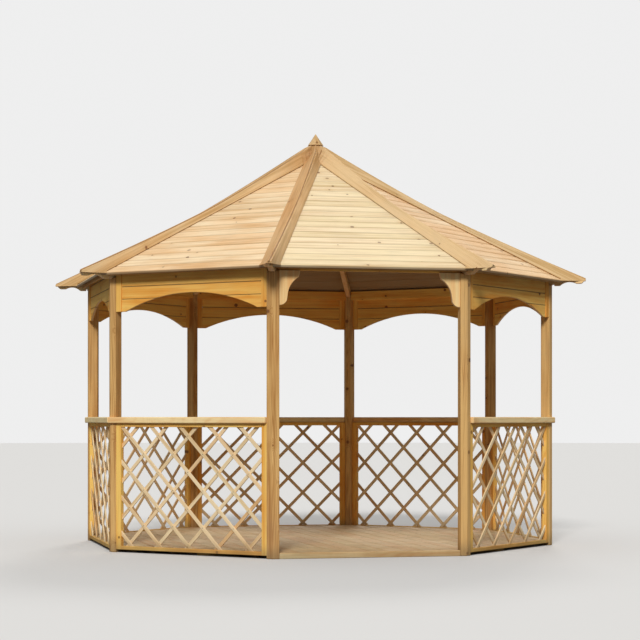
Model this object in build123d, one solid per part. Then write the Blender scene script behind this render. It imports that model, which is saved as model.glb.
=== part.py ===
from build123d import *
import math
import os

# Garden gazebo: an eight-sided open timber frame with a boarded roof.
# Origin on the ground at the middle of the floor, the entrance faces -Y, +Z up.
# All lengths are in millimetres and all angles in degrees.

# Plan of the frame
bay_count = 8
post_circle_radius = 1790.0
clearance = 0.5

# Posts: two outer faces along the neighbouring bays and two sides square to them
post_face_width = 49.0
post_side_depth = 70.0
post_arris_flat = 6.0

# Roof surface: the underside of the boards, measured in the middle of a bay
roof_eave_height = 1955.0
roof_rise = 967.0
eave_overhang = 83.0
roof_board_thickness = 20.0

# Leaning boards on the hips: a pair stands on the two panels and meets in a hollow ridge line,
# cut level past the eave
cap_foot_width = 66.0
cap_foot_thickness = 22.0
cap_ridge_offset = 8.0
cap_ridge_drop = 1.5
cap_seam = 1.5
cap_start_radius = 45.0
cap_bay_gap = 1.0
cap_waist_radius = 950.0
cap_waist_rise = 37.0
cap_head_rise = 105.0
cap_tip_rise = 95.0
cap_sweep_power = 1.5
cap_point_length = 160.0
cap_skirt = 90.0

cap_eave_gap = 2.0
cap_end_lift = 13.0

# Hip rafters with a shaped tail that reaches past the eave through a notch in the panels
rafter_thickness = 36.0
rafter_depth = 70.0
tail_notch_length = 39.0
tail_drop_gap = 16.0
tail_drop_radius = 1847.0
tail_drop_depth = 22.0
tail_arch_radius = 1912.0
tail_arch_rise = 28.0
tail_nose_radius = 1970.0
tail_nose_rise = 15.0
tail_tip_setback = 10.0
tail_lip = 20.0
tail_crest_radius = 1905.0
tail_crest_rise = 30.0
tail_shoulder_length = 25.0
king_block_margin = 8.0
king_block_height = 190.0

# Battens under the roof's edge
eave_board_thickness = 20.0
eave_board_setback = 40.0
eave_board_drop = 2.0

# Finial
finial_seat_radius = 56.0
finial_overhang = 4.0
finial_height = 88.0

# Top plates between the posts
plate_depth_below_eave = 10.0
plate_thickness = 36.0
plate_gap = 0.5

# Arched valances
valance_depth_below_eave = 258.0
valance_arch_rise = 118.0
valance_flat_end = 78.0
valance_board_thickness = 18.0
valance_board_setback = 10.0
batten_width = 46.0
batten_setback = 4.0

# Entrance brackets
bracket_width = 146.0
bracket_height = 237.0
bracket_thickness = 28.0
bracket_nose_height = 46.0
bracket_nose_rake = 9.0
bracket_waist_width = 62.0
bracket_waist_drop = 147.0
bracket_hollow_width = 84.0
bracket_hollow_drop = 95.0
bracket_belly_drop = 204.0
bracket_belly_rake = 8.0
bracket_toe_width = 34.0
bracket_toe_drop = 228.0

# Handrails
rail_top_height = 955.0
rail_height = 44.0
rail_inner_depth = 28.0
rail_lap_depth = 22.0

# Lattice panels
lattice_bottom_height = 20.0
lattice_frame_height = 40.0
lattice_stile_width = 42.0
lattice_frame_thickness = 36.0
lattice_setback = 4.0
lath_width = 25.0
lath_thickness = 10.0
lath_pitch = 252.0
lath_rebate = 10.0
lath_start_height = 557.0
lath_start_inset = 27.0

# Deck
deck_top_height = 40.0
deck_board_thickness = 22.0
deck_board_width = 120.0
deck_board_gap = 5.0
deck_post_gap = 3.0
bearer_width = 60.0
bearer_count = 5
bearer_edge_distance = 414.0

# Values worked out from the sizes above
bay_angle = 360.0 / bay_count
half_angle = bay_angle / 2.0
cos_half = math.cos(math.radians(half_angle))
sin_half = math.sin(math.radians(half_angle))
tan_half = math.tan(math.radians(half_angle))
frame_reach = post_circle_radius * cos_half
bay_half_width = post_circle_radius * sin_half
opening_half_width = bay_half_width - post_face_width
roof_eave_reach = frame_reach + eave_overhang
roof_apex_height = roof_eave_height + roof_rise
roof_pitch = math.atan(roof_rise / roof_eave_reach)
roof_board_rise = roof_board_thickness / math.cos(roof_pitch)
cap_tip_radius = roof_eave_reach / cos_half + cap_point_length
tail_bottom_height = roof_eave_height - tail_drop_depth
tail_nose_height = tail_bottom_height + tail_nose_rise
tail_start_radius = roof_eave_reach / cos_half - tail_notch_length
tail_tip_radius = cap_tip_radius - tail_tip_setback
cap_end_height = roof_eave_height + cap_end_lift
king_block_width = rafter_thickness / tan_half + 2.0 * king_block_margin
roof_reach_limit = cap_tip_radius * cos_half + 2.0 * cap_foot_width
roof_half_length = roof_reach_limit * tan_half + 2.0 * cap_foot_width
rail_bottom_height = rail_top_height - rail_height
plate_bottom_height = roof_eave_height - plate_depth_below_eave
valance_bottom_height = roof_eave_height - valance_depth_below_eave
valance_back_setback = valance_board_setback + valance_board_thickness
finial_base_radius = finial_seat_radius + finial_overhang
deck_reach = frame_reach - lattice_setback - lattice_frame_thickness

bay_names = ["front", "front_right", "right", "back_right", "back", "back_left", "left", "front_left"]
corner_names = [
    "front_right",
    "right_front",
    "right_back",
    "back_right",
    "back_left",
    "left_back",
    "left_front",
    "front_left",
]


def roof_height(reach):
    """Height of the roof boards' underside at a distance from the axis, across a bay."""
    return roof_apex_height - roof_rise * reach / roof_eave_reach


def hip_height(radius):
    """Height of the same underside along a hip."""
    return roof_height(radius * cos_half)


def ridge_height(radius):
    """Height of the hip boards' upper edge, lowest over the panels at the waist."""
    end_rise = cap_head_rise
    length = cap_waist_radius - cap_start_radius
    if radius > cap_waist_radius:
        end_rise = cap_tip_rise
        length = cap_tip_radius - cap_waist_radius
    sweep = (abs(radius - cap_waist_radius) / length) ** cap_sweep_power
    rise = cap_waist_rise + (end_rise - cap_waist_rise) * sweep
    return hip_height(radius) + roof_board_rise + rise


finial_seat_height = ridge_height(finial_seat_radius)


def turned_to_bay(piece, index):
    return Rot(0, 0, bay_angle * index) * piece


def turned_to_corner(piece, index):
    return Rot(0, 0, half_angle + bay_angle * index) * piece


def plan_prism(points, bottom, top):
    """Upright prism over a plan outline."""
    outline = Polygon(*points, align=None)
    return extrude(Pos(0, 0, bottom) * outline, amount=top - bottom, dir=(0, 0, 1))


def side_face(edges):
    """Face in the plane that holds the Y and Z axes."""
    return Plane.YZ * make_face(edges)


def side_prism(points, half_length):
    """Prism with an outline in the plane of the Y and Z axes, centred on X."""
    outline = Plane.YZ * Polygon(*points, align=None)
    return extrude(outline, amount=half_length, both=True)


def space_under_roof(offset, reach):
    """All the room below the roof surface out to a reach, for the front bay."""
    points = [
        (0, 0),
        (-reach, 0),
        (-reach, roof_height(reach) + offset),
        (0, roof_apex_height + offset),
    ]
    return side_prism(points, roof_half_length)


def space_at_corner(offset, reach):
    """All the room below the roof surface of both bays beside the hip on the -Y side."""
    room = space_under_roof(offset, reach)
    return (Rot(0, 0, half_angle) * room) & (Rot(0, 0, -half_angle) * room)


def post_outline():
    """Plan of the post at the corner on the -Y side."""
    flat = post_arris_flat / 2.0
    face_x = post_face_width * cos_half
    face_y = -post_circle_radius + post_face_width * sin_half
    back_x = face_x - post_side_depth * sin_half
    back_y = face_y + post_side_depth * cos_half
    flat_y = -post_circle_radius + flat * tan_half
    return [
        (-flat, flat_y),
        (flat, flat_y),
        (face_x, face_y),
        (back_x, back_y),
        (-back_x, back_y),
        (-face_x, face_y),
    ]


def make_post():
    """Post cut at its head along the underside of the hip rafter."""
    post = plan_prism(post_outline(), 0, roof_eave_height + rafter_depth)
    seat_points = [
        (0, roof_apex_height - rafter_depth),
        (-roof_reach_limit, hip_height(roof_reach_limit) - rafter_depth),
        (-roof_reach_limit, roof_apex_height),
        (0, roof_apex_height),
    ]
    return post - side_prism(seat_points, post_side_depth)


def make_rafter_tail():
    """Shaped end of a hip rafter, from the notch in the panels out to the tip."""
    top = cap_end_height - clearance
    low = (-tail_start_radius, tail_bottom_height)
    drop = (-tail_drop_radius, tail_bottom_height)
    arch = (-tail_arch_radius, tail_bottom_height + tail_arch_rise)
    nose = (-tail_nose_radius, tail_nose_height)
    nose_end = (-tail_tip_radius + tail_lip, tail_nose_height)
    tip = (-tail_tip_radius, top)
    shoulder = (-tail_crest_radius - tail_shoulder_length, top)
    crest = (-tail_crest_radius, roof_eave_height + tail_crest_rise)
    high = (-tail_start_radius, roof_eave_height + tail_crest_rise)
    edges = [
        Line(low, drop),
        ThreePointArc(drop, arch, nose),
        Line(nose, nose_end),
        Line(nose_end, tip),
        Line(tip, shoulder),
        Line(shoulder, crest),
        Line(crest, high),
        Line(high, low),
    ]
    return extrude(side_face(edges), amount=rafter_thickness / 2.0, both=True)


def make_hip_rafter():
    """Rafter from the king block out to the tip of its shaped tail."""
    inner = king_block_width / 2.0
    foot = post_circle_radius + tail_drop_gap
    points = [
        (-inner, hip_height(inner) - rafter_depth),
        (-post_circle_radius, hip_height(post_circle_radius) - rafter_depth),
        (-post_circle_radius, plate_bottom_height),
        (-foot, plate_bottom_height),
        (-foot, tail_bottom_height),
        (-tail_start_radius, tail_bottom_height),
        (-tail_start_radius, roof_apex_height),
        (-inner, roof_apex_height),
    ]
    body = side_prism(points, rafter_thickness / 2.0)
    body = body & space_at_corner(0, roof_reach_limit)
    return body + make_rafter_tail()


def make_king_block():
    top = hip_height(king_block_width / 2.0 / cos_half) - roof_board_rise
    outline = RegularPolygon(king_block_width / 2.0, bay_count, major_radius=False)
    block = extrude(outline, amount=king_block_height)
    return Pos(0, 0, top - king_block_height) * block


def make_roof_panel():
    points = [
        (0, roof_apex_height),
        (-roof_eave_reach, roof_eave_height),
        (-roof_eave_reach, roof_eave_height + roof_board_rise),
        (0, roof_apex_height + roof_board_rise),
    ]
    corner_x = roof_eave_reach * tan_half
    wedge = plan_prism(
        [(0, 0), (-corner_x, -roof_eave_reach), (corner_x, -roof_eave_reach)],
        0,
        finial_seat_height,
    )
    panel = side_prism(points, roof_half_length) & wedge
    notch_half = rafter_thickness / 2.0 + clearance
    notch_inner = tail_start_radius - clearance
    notch = plan_prism(
        [
            (-notch_half, -notch_inner),
            (-notch_half, -cap_tip_radius),
            (notch_half, -cap_tip_radius),
            (notch_half, -notch_inner),
        ],
        0,
        finial_seat_height,
    )
    return panel - (Rot(0, 0, half_angle) * notch) - (Rot(0, 0, -half_angle) * notch)


def point_on_line(low, high, height):
    """Sideways place of a sloping line at a height; points are (side, height)."""
    share = (height - low[1]) / (high[1] - low[1])
    return low[0] + share * (high[0] - low[0])


def cap_section(radius, left_side):
    """Four corners of a hip board across the hip, clockwise from the outer foot."""
    narrowing = (radius * tan_half - cap_bay_gap / 2.0) / cap_foot_width
    width = min(1.0, narrowing)
    ridge = ridge_height(radius)
    panel = hip_height(radius) + roof_board_rise
    side_fall = roof_rise / roof_eave_reach * sin_half
    outer_foot = cap_foot_width * width
    inner_foot = (cap_foot_width - cap_foot_thickness) * width
    outer_level = panel - side_fall * outer_foot
    inner_level = panel - side_fall * inner_foot
    bottom = panel - cap_skirt
    left_outer = [(-outer_foot, outer_level), (cap_ridge_offset * width, ridge)]
    left_inner = [(-inner_foot, inner_level), ((cap_ridge_offset + cap_foot_thickness) * width, ridge)]
    if left_side:
        return [
            (point_on_line(*left_outer, bottom), bottom),
            left_outer[1],
            left_inner[1],
            (point_on_line(*left_inner, bottom), bottom),
        ]
    seam_foot = (left_inner[0][0] + cap_seam, inner_level)
    seam_head = (left_inner[1][0] + cap_seam, ridge)
    top = ridge - cap_ridge_drop
    outer_top = (point_on_line(seam_foot, seam_head, top), top)
    right_outer = [(outer_foot, outer_level), outer_top]
    thickness = outer_foot - inner_foot
    right_inner = [(inner_foot, inner_level), (outer_top[0] - thickness, top)]
    low = inner_level
    high = top
    for halving in range(30):
        middle = (low + high) / 2.0
        if point_on_line(*right_inner, middle) > point_on_line(seam_foot, seam_head, middle):
            low = middle
        else:
            high = middle
    return [
        (point_on_line(*right_outer, bottom), bottom),
        outer_top,
        (point_on_line(*right_inner, low), low),
        (point_on_line(*right_inner, bottom), bottom),
    ]


def cap_radii():
    """Places along the hip where a hip board is given its section."""
    full_width = (cap_foot_width + cap_bay_gap / 2.0) / tan_half
    inner = [cap_start_radius, full_width]
    steps = 5
    for step in range(1, steps):
        inner.append(full_width + (cap_waist_radius - full_width) * step / steps)
    outer = []
    steps = 6
    for step in range(steps + 1):
        outer.append(cap_waist_radius + (cap_tip_radius - cap_waist_radius) * step / steps)
    return inner + outer


def make_cap_board(left_side):
    """Hip board on the -Y side, straight between its sections."""
    sections = []
    for radius in cap_radii():
        corners = cap_section(radius, left_side)
        points = [Vector(side, -radius, height) for side, height in corners]
        sections.append(Wire.make_polygon(points, close=True))
    board = Solid.make_loft(sections, ruled=True)
    board = board - space_at_corner(roof_board_rise, roof_eave_reach + cap_eave_gap)
    board = board - plan_prism(
        [
            (-cap_tip_radius, 0),
            (-cap_tip_radius, -2.0 * cap_tip_radius),
            (cap_tip_radius, -2.0 * cap_tip_radius),
            (cap_tip_radius, 0),
        ],
        0,
        cap_end_height,
    )
    return board - plan_prism(
        [
            (-finial_base_radius, 0),
            (-finial_base_radius, -2.0 * finial_base_radius),
            (finial_base_radius, -2.0 * finial_base_radius),
            (finial_base_radius, 0),
        ],
        finial_seat_height,
        finial_seat_height + finial_height,
    )


def make_hip_caps():
    right_board = make_cap_board(False)
    left_board = make_cap_board(True)
    boards = []
    for index in range(bay_count):
        boards.append(turned_to_corner(left_board, index))
        boards.append(turned_to_corner(right_board, index))
    return boards


def room_between_rafters():
    """Plan wedge of one bay between the side faces of its two hip rafters, up to the roof."""
    side_room = rafter_thickness / 2.0 / cos_half
    outer_x = roof_reach_limit * tan_half - side_room
    wedge = plan_prism(
        [(0, -side_room / tan_half), (-outer_x, -roof_reach_limit), (outer_x, -roof_reach_limit)],
        0,
        roof_apex_height,
    )
    return wedge & space_under_roof(0, roof_reach_limit)


def make_eave_board():
    board = bay_block(
        roof_half_length,
        frame_reach - roof_eave_reach + eave_board_setback,
        eave_board_thickness,
        roof_eave_height - eave_board_drop,
        roof_apex_height,
    )
    return board & room_between_rafters()


def bay_block(half_width, setback, thickness, bottom, top):
    """Upright board in the front bay, set back from the posts' outer faces."""
    outer_y = -frame_reach + setback
    points = [
        (-half_width, outer_y),
        (half_width, outer_y),
        (half_width, outer_y + thickness),
        (-half_width, outer_y + thickness),
    ]
    return plan_prism(points, bottom, top)


def make_top_plate():
    plate = bay_block(
        opening_half_width,
        valance_back_setback + plate_gap,
        plate_thickness,
        plate_bottom_height,
        roof_apex_height,
    )
    return plate & room_between_rafters()


def make_valance():
    arch_half_width = opening_half_width - valance_flat_end
    crown = valance_bottom_height + valance_arch_rise
    low_left = (-opening_half_width, valance_bottom_height)
    low_right = (opening_half_width, valance_bottom_height)
    arch_left = (-arch_half_width, valance_bottom_height)
    arch_right = (arch_half_width, valance_bottom_height)
    high_left = (-opening_half_width, roof_apex_height)
    high_right = (opening_half_width, roof_apex_height)
    edges = [
        Line(low_left, arch_left),
        ThreePointArc(arch_left, (0, crown), arch_right),
        Line(arch_right, low_right),
        Line(low_right, high_right),
        Line(high_right, high_left),
        Line(high_left, low_left),
    ]
    face = Plane.XZ * make_face(edges)
    board_y = -frame_reach + valance_back_setback
    boards = extrude(Pos(0, board_y, 0) * face, amount=valance_board_thickness)
    batten = bay_block(
        batten_width / 2.0,
        batten_setback,
        valance_back_setback - batten_setback,
        valance_bottom_height,
        roof_apex_height,
    )
    batten_x = opening_half_width - batten_width / 2.0
    valance = boards + Pos(batten_x, 0, 0) * batten + Pos(-batten_x, 0, 0) * batten
    return valance & space_under_roof(0, roof_reach_limit)


def make_entrance_brackets():
    side_x = opening_half_width
    top = plate_bottom_height
    nose_x = side_x - bracket_width
    nose_low = (nose_x + bracket_nose_rake, top - bracket_nose_height)
    hollow = (side_x - bracket_hollow_width, top - bracket_hollow_drop)
    waist = (side_x - bracket_waist_width, top - bracket_waist_drop)
    belly = (side_x - bracket_waist_width + bracket_belly_rake, top - bracket_belly_drop)
    toe = (side_x - bracket_toe_width, top - bracket_toe_drop)
    foot = (side_x, top - bracket_height)
    edges = [
        Line((side_x, top), (nose_x, top)),
        Line((nose_x, top), nose_low),
        ThreePointArc(nose_low, hollow, waist),
        Line(waist, belly),
        ThreePointArc(belly, toe, foot),
        Line(foot, (side_x, top)),
    ]
    face = Plane.XZ * make_face(edges)
    bracket_y = -frame_reach + valance_board_setback + bracket_thickness
    bracket = extrude(Pos(0, bracket_y, 0) * face, amount=bracket_thickness)
    return [bracket, mirror(bracket, about=Plane.YZ)]


def make_handrail(laps_left, laps_right):
    """Rail of one bay: an inner bar between the posts and a lip over their outer faces."""
    outer_y = -frame_reach - rail_lap_depth
    inner_y = -frame_reach + rail_inner_depth
    mitre_gap = clearance / 2.0 / cos_half
    lap_outer = -outer_y * tan_half - mitre_gap
    lap_inner = frame_reach * tan_half - mitre_gap
    right = [(opening_half_width, inner_y), (opening_half_width, outer_y)]
    if laps_right:
        right = [
            (opening_half_width, inner_y),
            (opening_half_width, -frame_reach),
            (lap_inner, -frame_reach),
            (lap_outer, outer_y),
        ]
    left = [(-opening_half_width, outer_y), (-opening_half_width, inner_y)]
    if laps_left:
        left = [
            (-lap_outer, outer_y),
            (-lap_inner, -frame_reach),
            (-opening_half_width, -frame_reach),
            (-opening_half_width, inner_y),
        ]
    return plan_prism(right + left, rail_bottom_height, rail_top_height)


def make_handrails():
    rails = []
    for index in range(1, bay_count):
        laps_left = index > 1
        laps_right = index < bay_count - 1
        rails.append(turned_to_bay(make_handrail(laps_left, laps_right), index))
    return rails


def make_lath(line_constant, slope_sign, layer_y):
    """One sloping lath; slope_sign is 1 where it rises to the right."""
    long_enough = 2.0 * (opening_half_width + rail_top_height)
    bar = Box(long_enough, lath_thickness, lath_width)
    middle = line_constant / 2.0
    return Pos(middle, layer_y, -slope_sign * middle) * Rot(0, -45.0 * slope_sign, 0) * bar


def make_lattice():
    top = rail_bottom_height
    frame_y = -frame_reach + lattice_setback + lattice_frame_thickness / 2.0
    inner_half = opening_half_width - lattice_stile_width
    inner_bottom = lattice_bottom_height + lattice_frame_height
    inner_top = top - lattice_frame_height
    outer = bay_block(
        opening_half_width,
        lattice_setback,
        lattice_frame_thickness,
        lattice_bottom_height,
        top,
    )
    hole = bay_block(
        inner_half,
        0,
        lattice_frame_thickness * 2.0,
        inner_bottom,
        inner_top,
    )
    panel = outer - hole
    room = bay_block(
        inner_half + lath_rebate,
        0,
        lattice_frame_thickness * 2.0,
        inner_bottom - lath_rebate,
        inner_top + lath_rebate,
    )
    start_x = -inner_half + lath_start_inset
    falling_start = start_x + lath_start_height
    rising_start = start_x - lath_start_height
    reach = int((2.0 * inner_half + inner_top) / lath_pitch) + 2
    front_y = frame_y - lath_thickness / 2.0
    back_y = frame_y + lath_thickness / 2.0
    for step in range(-reach, reach + 1):
        falling = falling_start + step * lath_pitch
        if -inner_half + inner_bottom < falling < inner_half + inner_top:
            panel = panel + (make_lath(falling, -1, front_y) & room)
        rising = rising_start + step * lath_pitch
        if -inner_half - inner_top < rising < inner_half - inner_bottom:
            panel = panel + (make_lath(rising, 1, back_y) & room)
    return panel


def deck_outline(reach):
    outline = []
    for index in range(bay_count):
        angle = math.radians(bay_angle * index - 90.0 - half_angle)
        radius = reach / cos_half
        outline.append((radius * math.cos(angle), radius * math.sin(angle)))
    return outline


def room_for_posts(top):
    """Upright spaces a little larger than the posts, cut out of the deck."""
    grown = offset(Polygon(*post_outline(), align=None), deck_post_gap, kind=Kind.INTERSECTION)
    space = extrude(grown, amount=top)
    return [turned_to_corner(space, index) for index in range(bay_count)]


def make_deck_boards():
    plan = plan_prism(
        deck_outline(deck_reach), deck_top_height - deck_board_thickness, deck_top_height
    )
    spaces = room_for_posts(deck_top_height)
    step = deck_board_width + deck_board_gap
    count = int(2.0 * deck_reach / step)
    first_x = -deck_reach + deck_board_width / 2.0
    boards = []
    for index in range(count + 1):
        centre_x = first_x + index * step
        strip = Box(
            deck_board_width,
            2.0 * post_circle_radius,
            deck_board_thickness,
            align=(Align.CENTER, Align.CENTER, Align.MIN),
        )
        board = Pos(centre_x, 0, deck_top_height - deck_board_thickness) * strip & plan
        for space in spaces:
            board = board - space
        boards.extend(board.solids())
    return boards


def make_deck_bearers():
    height = deck_top_height - deck_board_thickness
    plan = plan_prism(deck_outline(deck_reach), 0, height)
    first_y = bearer_edge_distance - deck_reach
    spacing = -2.0 * first_y / (bearer_count - 1)
    bearers = []
    for index in range(bearer_count):
        centre_y = first_y + index * spacing
        strip = Box(
            2.0 * post_circle_radius,
            bearer_width,
            height,
            align=(Align.CENTER, Align.CENTER, Align.MIN),
        )
        bearer = Pos(0, centre_y, 0) * strip & plan
        for space in room_for_posts(deck_top_height):
            bearer = bearer - space
        bearers.extend(bearer.solids())
    return bearers


def make_threshold():
    """Edge board of the deck in the entrance, in line with the lattice panels."""
    return bay_block(opening_half_width, lattice_setback, lattice_frame_thickness, 0, deck_top_height)


def make_finial():
    angle_step = math.radians(bay_angle)
    tip = Vector(0, 0, finial_seat_height + finial_height)
    rim = []
    for index in range(bay_count):
        angle = angle_step * (index + 0.5)
        rim.append(
            Vector(
                finial_base_radius * math.cos(angle),
                finial_base_radius * math.sin(angle),
                finial_seat_height,
            )
        )
    faces = [Face(Wire.make_polygon(rim, close=True))]
    for index in range(bay_count):
        corners = [rim[index], rim[(index + 1) % bay_count], tip]
        faces.append(Face(Wire.make_polygon(corners, close=True)))
    return Solid(Shell(faces))


def save(node, shape):
    """Write one node; a list becomes separate solids in the same file."""
    if isinstance(shape, list):
        shape = Compound(children=shape)
    shape.label = node
    export_step(shape, os.path.join("parts", node + ".step"))


def main():
    os.makedirs("parts", exist_ok=True)
    post = make_post()
    roof_panel = make_roof_panel()
    valance = make_valance()
    lattice = make_lattice()
    rafter = make_hip_rafter()
    top_plate = make_top_plate()
    eave_board = make_eave_board()
    for index in range(bay_count):
        bay = bay_names[index]
        corner = corner_names[index]
        save("post_" + corner, turned_to_corner(post, index))
        save("roof_panel_" + bay, turned_to_bay(roof_panel, index))
        if index > 0:
            save("valance_" + bay, turned_to_bay(valance, index))
            save("lattice_" + bay, turned_to_bay(lattice, index))
    save("hip_rafters", [turned_to_corner(rafter, index) for index in range(bay_count)])
    save("top_plates", [turned_to_bay(top_plate, index) for index in range(bay_count)])
    save("eave_boards", [turned_to_bay(eave_board, index) for index in range(bay_count)])
    save("hip_caps", make_hip_caps())
    save("handrails", make_handrails())
    save("entrance_brackets", make_entrance_brackets())
    save("king_block", make_king_block())
    save("finial", make_finial())
    save("deck_boards", make_deck_boards())
    save("deck_bearers", make_deck_bearers())
    save("threshold_board", make_threshold())


main()
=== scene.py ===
import math
import random

import bmesh
import bpy
from bpy.props import FloatProperty, FloatVectorProperty, PointerProperty
from bpy.types import Operator, Panel, PropertyGroup
from mathutils import Matrix, Vector


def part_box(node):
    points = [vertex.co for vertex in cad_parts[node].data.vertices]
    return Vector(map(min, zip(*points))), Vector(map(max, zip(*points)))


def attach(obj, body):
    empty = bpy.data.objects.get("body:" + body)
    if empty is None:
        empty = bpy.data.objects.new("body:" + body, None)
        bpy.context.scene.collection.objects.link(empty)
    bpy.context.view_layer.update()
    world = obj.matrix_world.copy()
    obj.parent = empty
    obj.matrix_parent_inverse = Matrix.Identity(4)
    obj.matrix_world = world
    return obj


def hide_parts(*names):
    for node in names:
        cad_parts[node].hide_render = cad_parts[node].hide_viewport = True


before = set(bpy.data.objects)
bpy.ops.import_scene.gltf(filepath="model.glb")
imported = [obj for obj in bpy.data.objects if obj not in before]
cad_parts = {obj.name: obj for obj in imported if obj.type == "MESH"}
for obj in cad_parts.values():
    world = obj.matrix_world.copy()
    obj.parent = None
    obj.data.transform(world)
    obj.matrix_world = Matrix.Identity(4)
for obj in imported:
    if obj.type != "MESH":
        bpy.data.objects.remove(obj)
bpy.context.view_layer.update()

bl_info = {
    "name": "Garden gazebo",
    "version": (1, 0, 0),
    "blender": (4, 5, 0),
    "location": "3D View > Sidebar > Gazebo",
    "description": "Dresses the eight-sided garden gazebo with boards, laths and finishes",
    "category": "Object",
}

BODY = "root"
BAY_COUNT = 8
BAY_ANGLE = math.tau / BAY_COUNT
HALF_ANGLE = BAY_ANGLE / 2.0
COS_HALF = math.cos(HALF_ANGLE)
SIN_HALF = math.sin(HALF_ANGLE)
TAN_HALF = math.tan(HALF_ANGLE)
BAYS = "front front_right right back_right back back_left left front_left".split()
CORNERS = (
    "front_right right_front right_back back_right back_left left_back left_front front_left"
).split()
ENTRANCE = BAYS.index("front")

# Clearances that keep the faces of neighbouring pieces apart
SEAT_GAP = 0.0003
MITRE_GAP = 0.0004
FIT_GAP = 0.0005
VALANCE_TOP_GAP = 0.001

# Rounding of the edges of small timbers, and the angle from which an edge is rounded
SHARP_ANGLE = math.radians(28.0)
LATH_ROUNDING = 0.0015
EAVE_BATTEN_ROUNDING = 0.002
RAFTER_ROUNDING = 0.0025
TIMBER_ROUNDING = 0.003
THRESHOLD_ROUNDING = 0.004

# Warmth of the roof's sides, from a green cast at 0 to a red one at 1
ROOF_WARMTH = {"front": 0.3, "front_left": 0.74, "front_right": 0.85}
OTHER_ROOF_WARMTH = 0.6

# Depth of the laths' ends in the panel's frame, the gap between their two layers, and how far a
# lath may stray
LATH_REBATE = 0.004
LATH_GAP = 0.0004
LATH_WANDER = 0.003

# Sections of a hip board before and past the eave's corner, the step at its cut there, how fast
# the ridge rises from the waist, and how far the lapped board's top stands over the other's
HIP_STEPS = 46
POINT_STEPS = 8
HIP_CUT_STEP = 0.0002
RIDGE_SWEEP = 1.5
HIP_LAP_RISE = 0.001

# Sections of the arcs of a rafter's tail, a valance and a bracket
TAIL_STEPS = 12
VALANCE_STEPS = 40
HOLLOW_STEPS = 8
BELLY_STEPS = 6

# Heads of nails and screws: their height, how deep a screw's lies in the deck, where the screws
# sit across a board, and how far they stay off the deck's sides and corners
NAIL_HEIGHT = 0.0012
SCREW_HEIGHT = 0.001
SCREW_SINK = 0.0002
SCREW_SHARES = (0.22, 0.78)
SCREW_SIDE_MARGIN = 0.02
SCREW_CORNER_MARGIN = 0.05

# Width of the bearers under the deck, which keep their own shape
BEARER_WIDTH = 0.06

# Longer than anything that is cut to the gazebo's outline
FAR = 3.0

# Strength of the grime and of the painted shade, by where each is put
# Roof boards: grime and painted shade beside the joints, and painted shade on the undersides and at
# the foot of the eave's edge
ROOF_JOINT_GRIME_AND_SHADE = 0.7
ROOF_UNDERSIDE_SHADE = 1.6
# Valances: grime and painted shade along the joints between rows
VALANCE_JOINT_GRIME_AND_SHADE = 1.4
# Hip boards: painted shade on the lapping board's edge by the ridge, on the heads at the seam and
# along the feet
HIP_RIDGE_SHADE = 0.8
HIP_FOOT_SHADE = 1.2
HIP_SEAM_SHADE = 1.8

# How far the neck under the finial reaches past the hip boards' heads and into the king block
NECK_MARGIN = 0.004
NECK_ROUNDING = 0.001

# Share of the finial's radius and of its height, from its base to its point
FINIAL_PROFILE = ((1.0, 0.0), (0.985, 0.03), (0.5, 0.5), (0.06, 0.955), (0.02, 0.99))

# Values that each point of a board carries to its finish
GRAIN_ATTRIBUTE = "grain_place"
TONE_ATTRIBUTE = "board_tone"
WARMTH_ATTRIBUTE = "board_warmth"
# Darkening per point: grime at joints, and painted shade on undersides, in recesses and along the
# hip boards
GRIME_AND_SHADE_ATTRIBUTE = "grime_and_painted_shade"


def low(node):
    """Lowest corner of a node of the frame."""
    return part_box(node)[0]


def high(node):
    """Highest corner of a node of the frame."""
    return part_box(node)[1]


def length(name, description, default):
    return FloatProperty(
        name=name, description=description, default=default, unit="LENGTH", precision=4
    )


def degrees(name, description, default):
    return FloatProperty(
        name=name, description=description, default=math.radians(default), subtype="ANGLE"
    )


def number(name, description, default):
    return FloatProperty(name=name, description=description, default=default)


def colour(name, description, default):
    return FloatVectorProperty(
        name=name, description=description, default=default, subtype="COLOR", min=0.0, max=1.0
    )


class GazeboFrameSizes(PropertyGroup):
    post_circle_radius: length("Post circle", "Radius of the posts' outer arrises", 1.79)
    post_face: length("Post face", "Width of each outer face of a post", 0.049)
    post_depth: length("Post depth", "Depth of a post's side", 0.07)
    arris_flat: length("Arris", "Flat on the outer arris of a post", 0.006)
    post_rounding: length("Post rounding", "Rounding of the posts' edges", 0.005)
    rafter_thickness: length("Rafter thickness", "Thickness of a hip rafter", 0.036)
    rafter_depth: length("Rafter depth", "Upright depth of a hip rafter", 0.07)
    rafter_head: length("Rafter head", "Distance of a rafter's head from the axis", 0.0515)
    notch_length: length("Notch", "Length of the notch for a rafter in the roof's corner", 0.039)
    tail_gap: length("Tail gap", "Distance of a rafter's drop from the post", 0.016)
    drop_radius: length("Drop end", "Distance of the drop's outer end from the axis", 1.847)
    drop_depth: length("Drop depth", "Depth of a rafter's drop under the eave", 0.022)
    arch_radius: length("Tail arch", "Distance of the tail's arch from the axis", 1.912)
    tail_arch_rise: length("Tail arch rise", "Rise of the tail's arch above the drop", 0.028)
    nose_radius: length("Nose start", "Distance of the nose's inner end from the axis", 1.97)
    nose_rise: length("Nose rise", "Height of the nose above the drop", 0.015)
    tip_setback: length("Tip setback", "Distance of a rafter's tip behind the hip boards", 0.01)
    tail_lip: length("Tail lip", "Length of the chamfer under a rafter's tip", 0.02)
    crest_radius: length("Crest", "Distance of the tail's crest from the axis", 1.905)
    crest_rise: length("Crest rise", "Height of the crest above the eave", 0.03)
    shoulder: length("Shoulder", "Length of the slope outside the crest", 0.025)
    plate_thickness: length("Plate thickness", "Thickness of a top plate", 0.036)
    plate_setback: length("Plate setback", "Depth of a top plate behind the posts' faces", 0.0285)
    plate_bottom: length("Plate bottom", "Height of the top plates' underside", low("top_plates").z)


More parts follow.
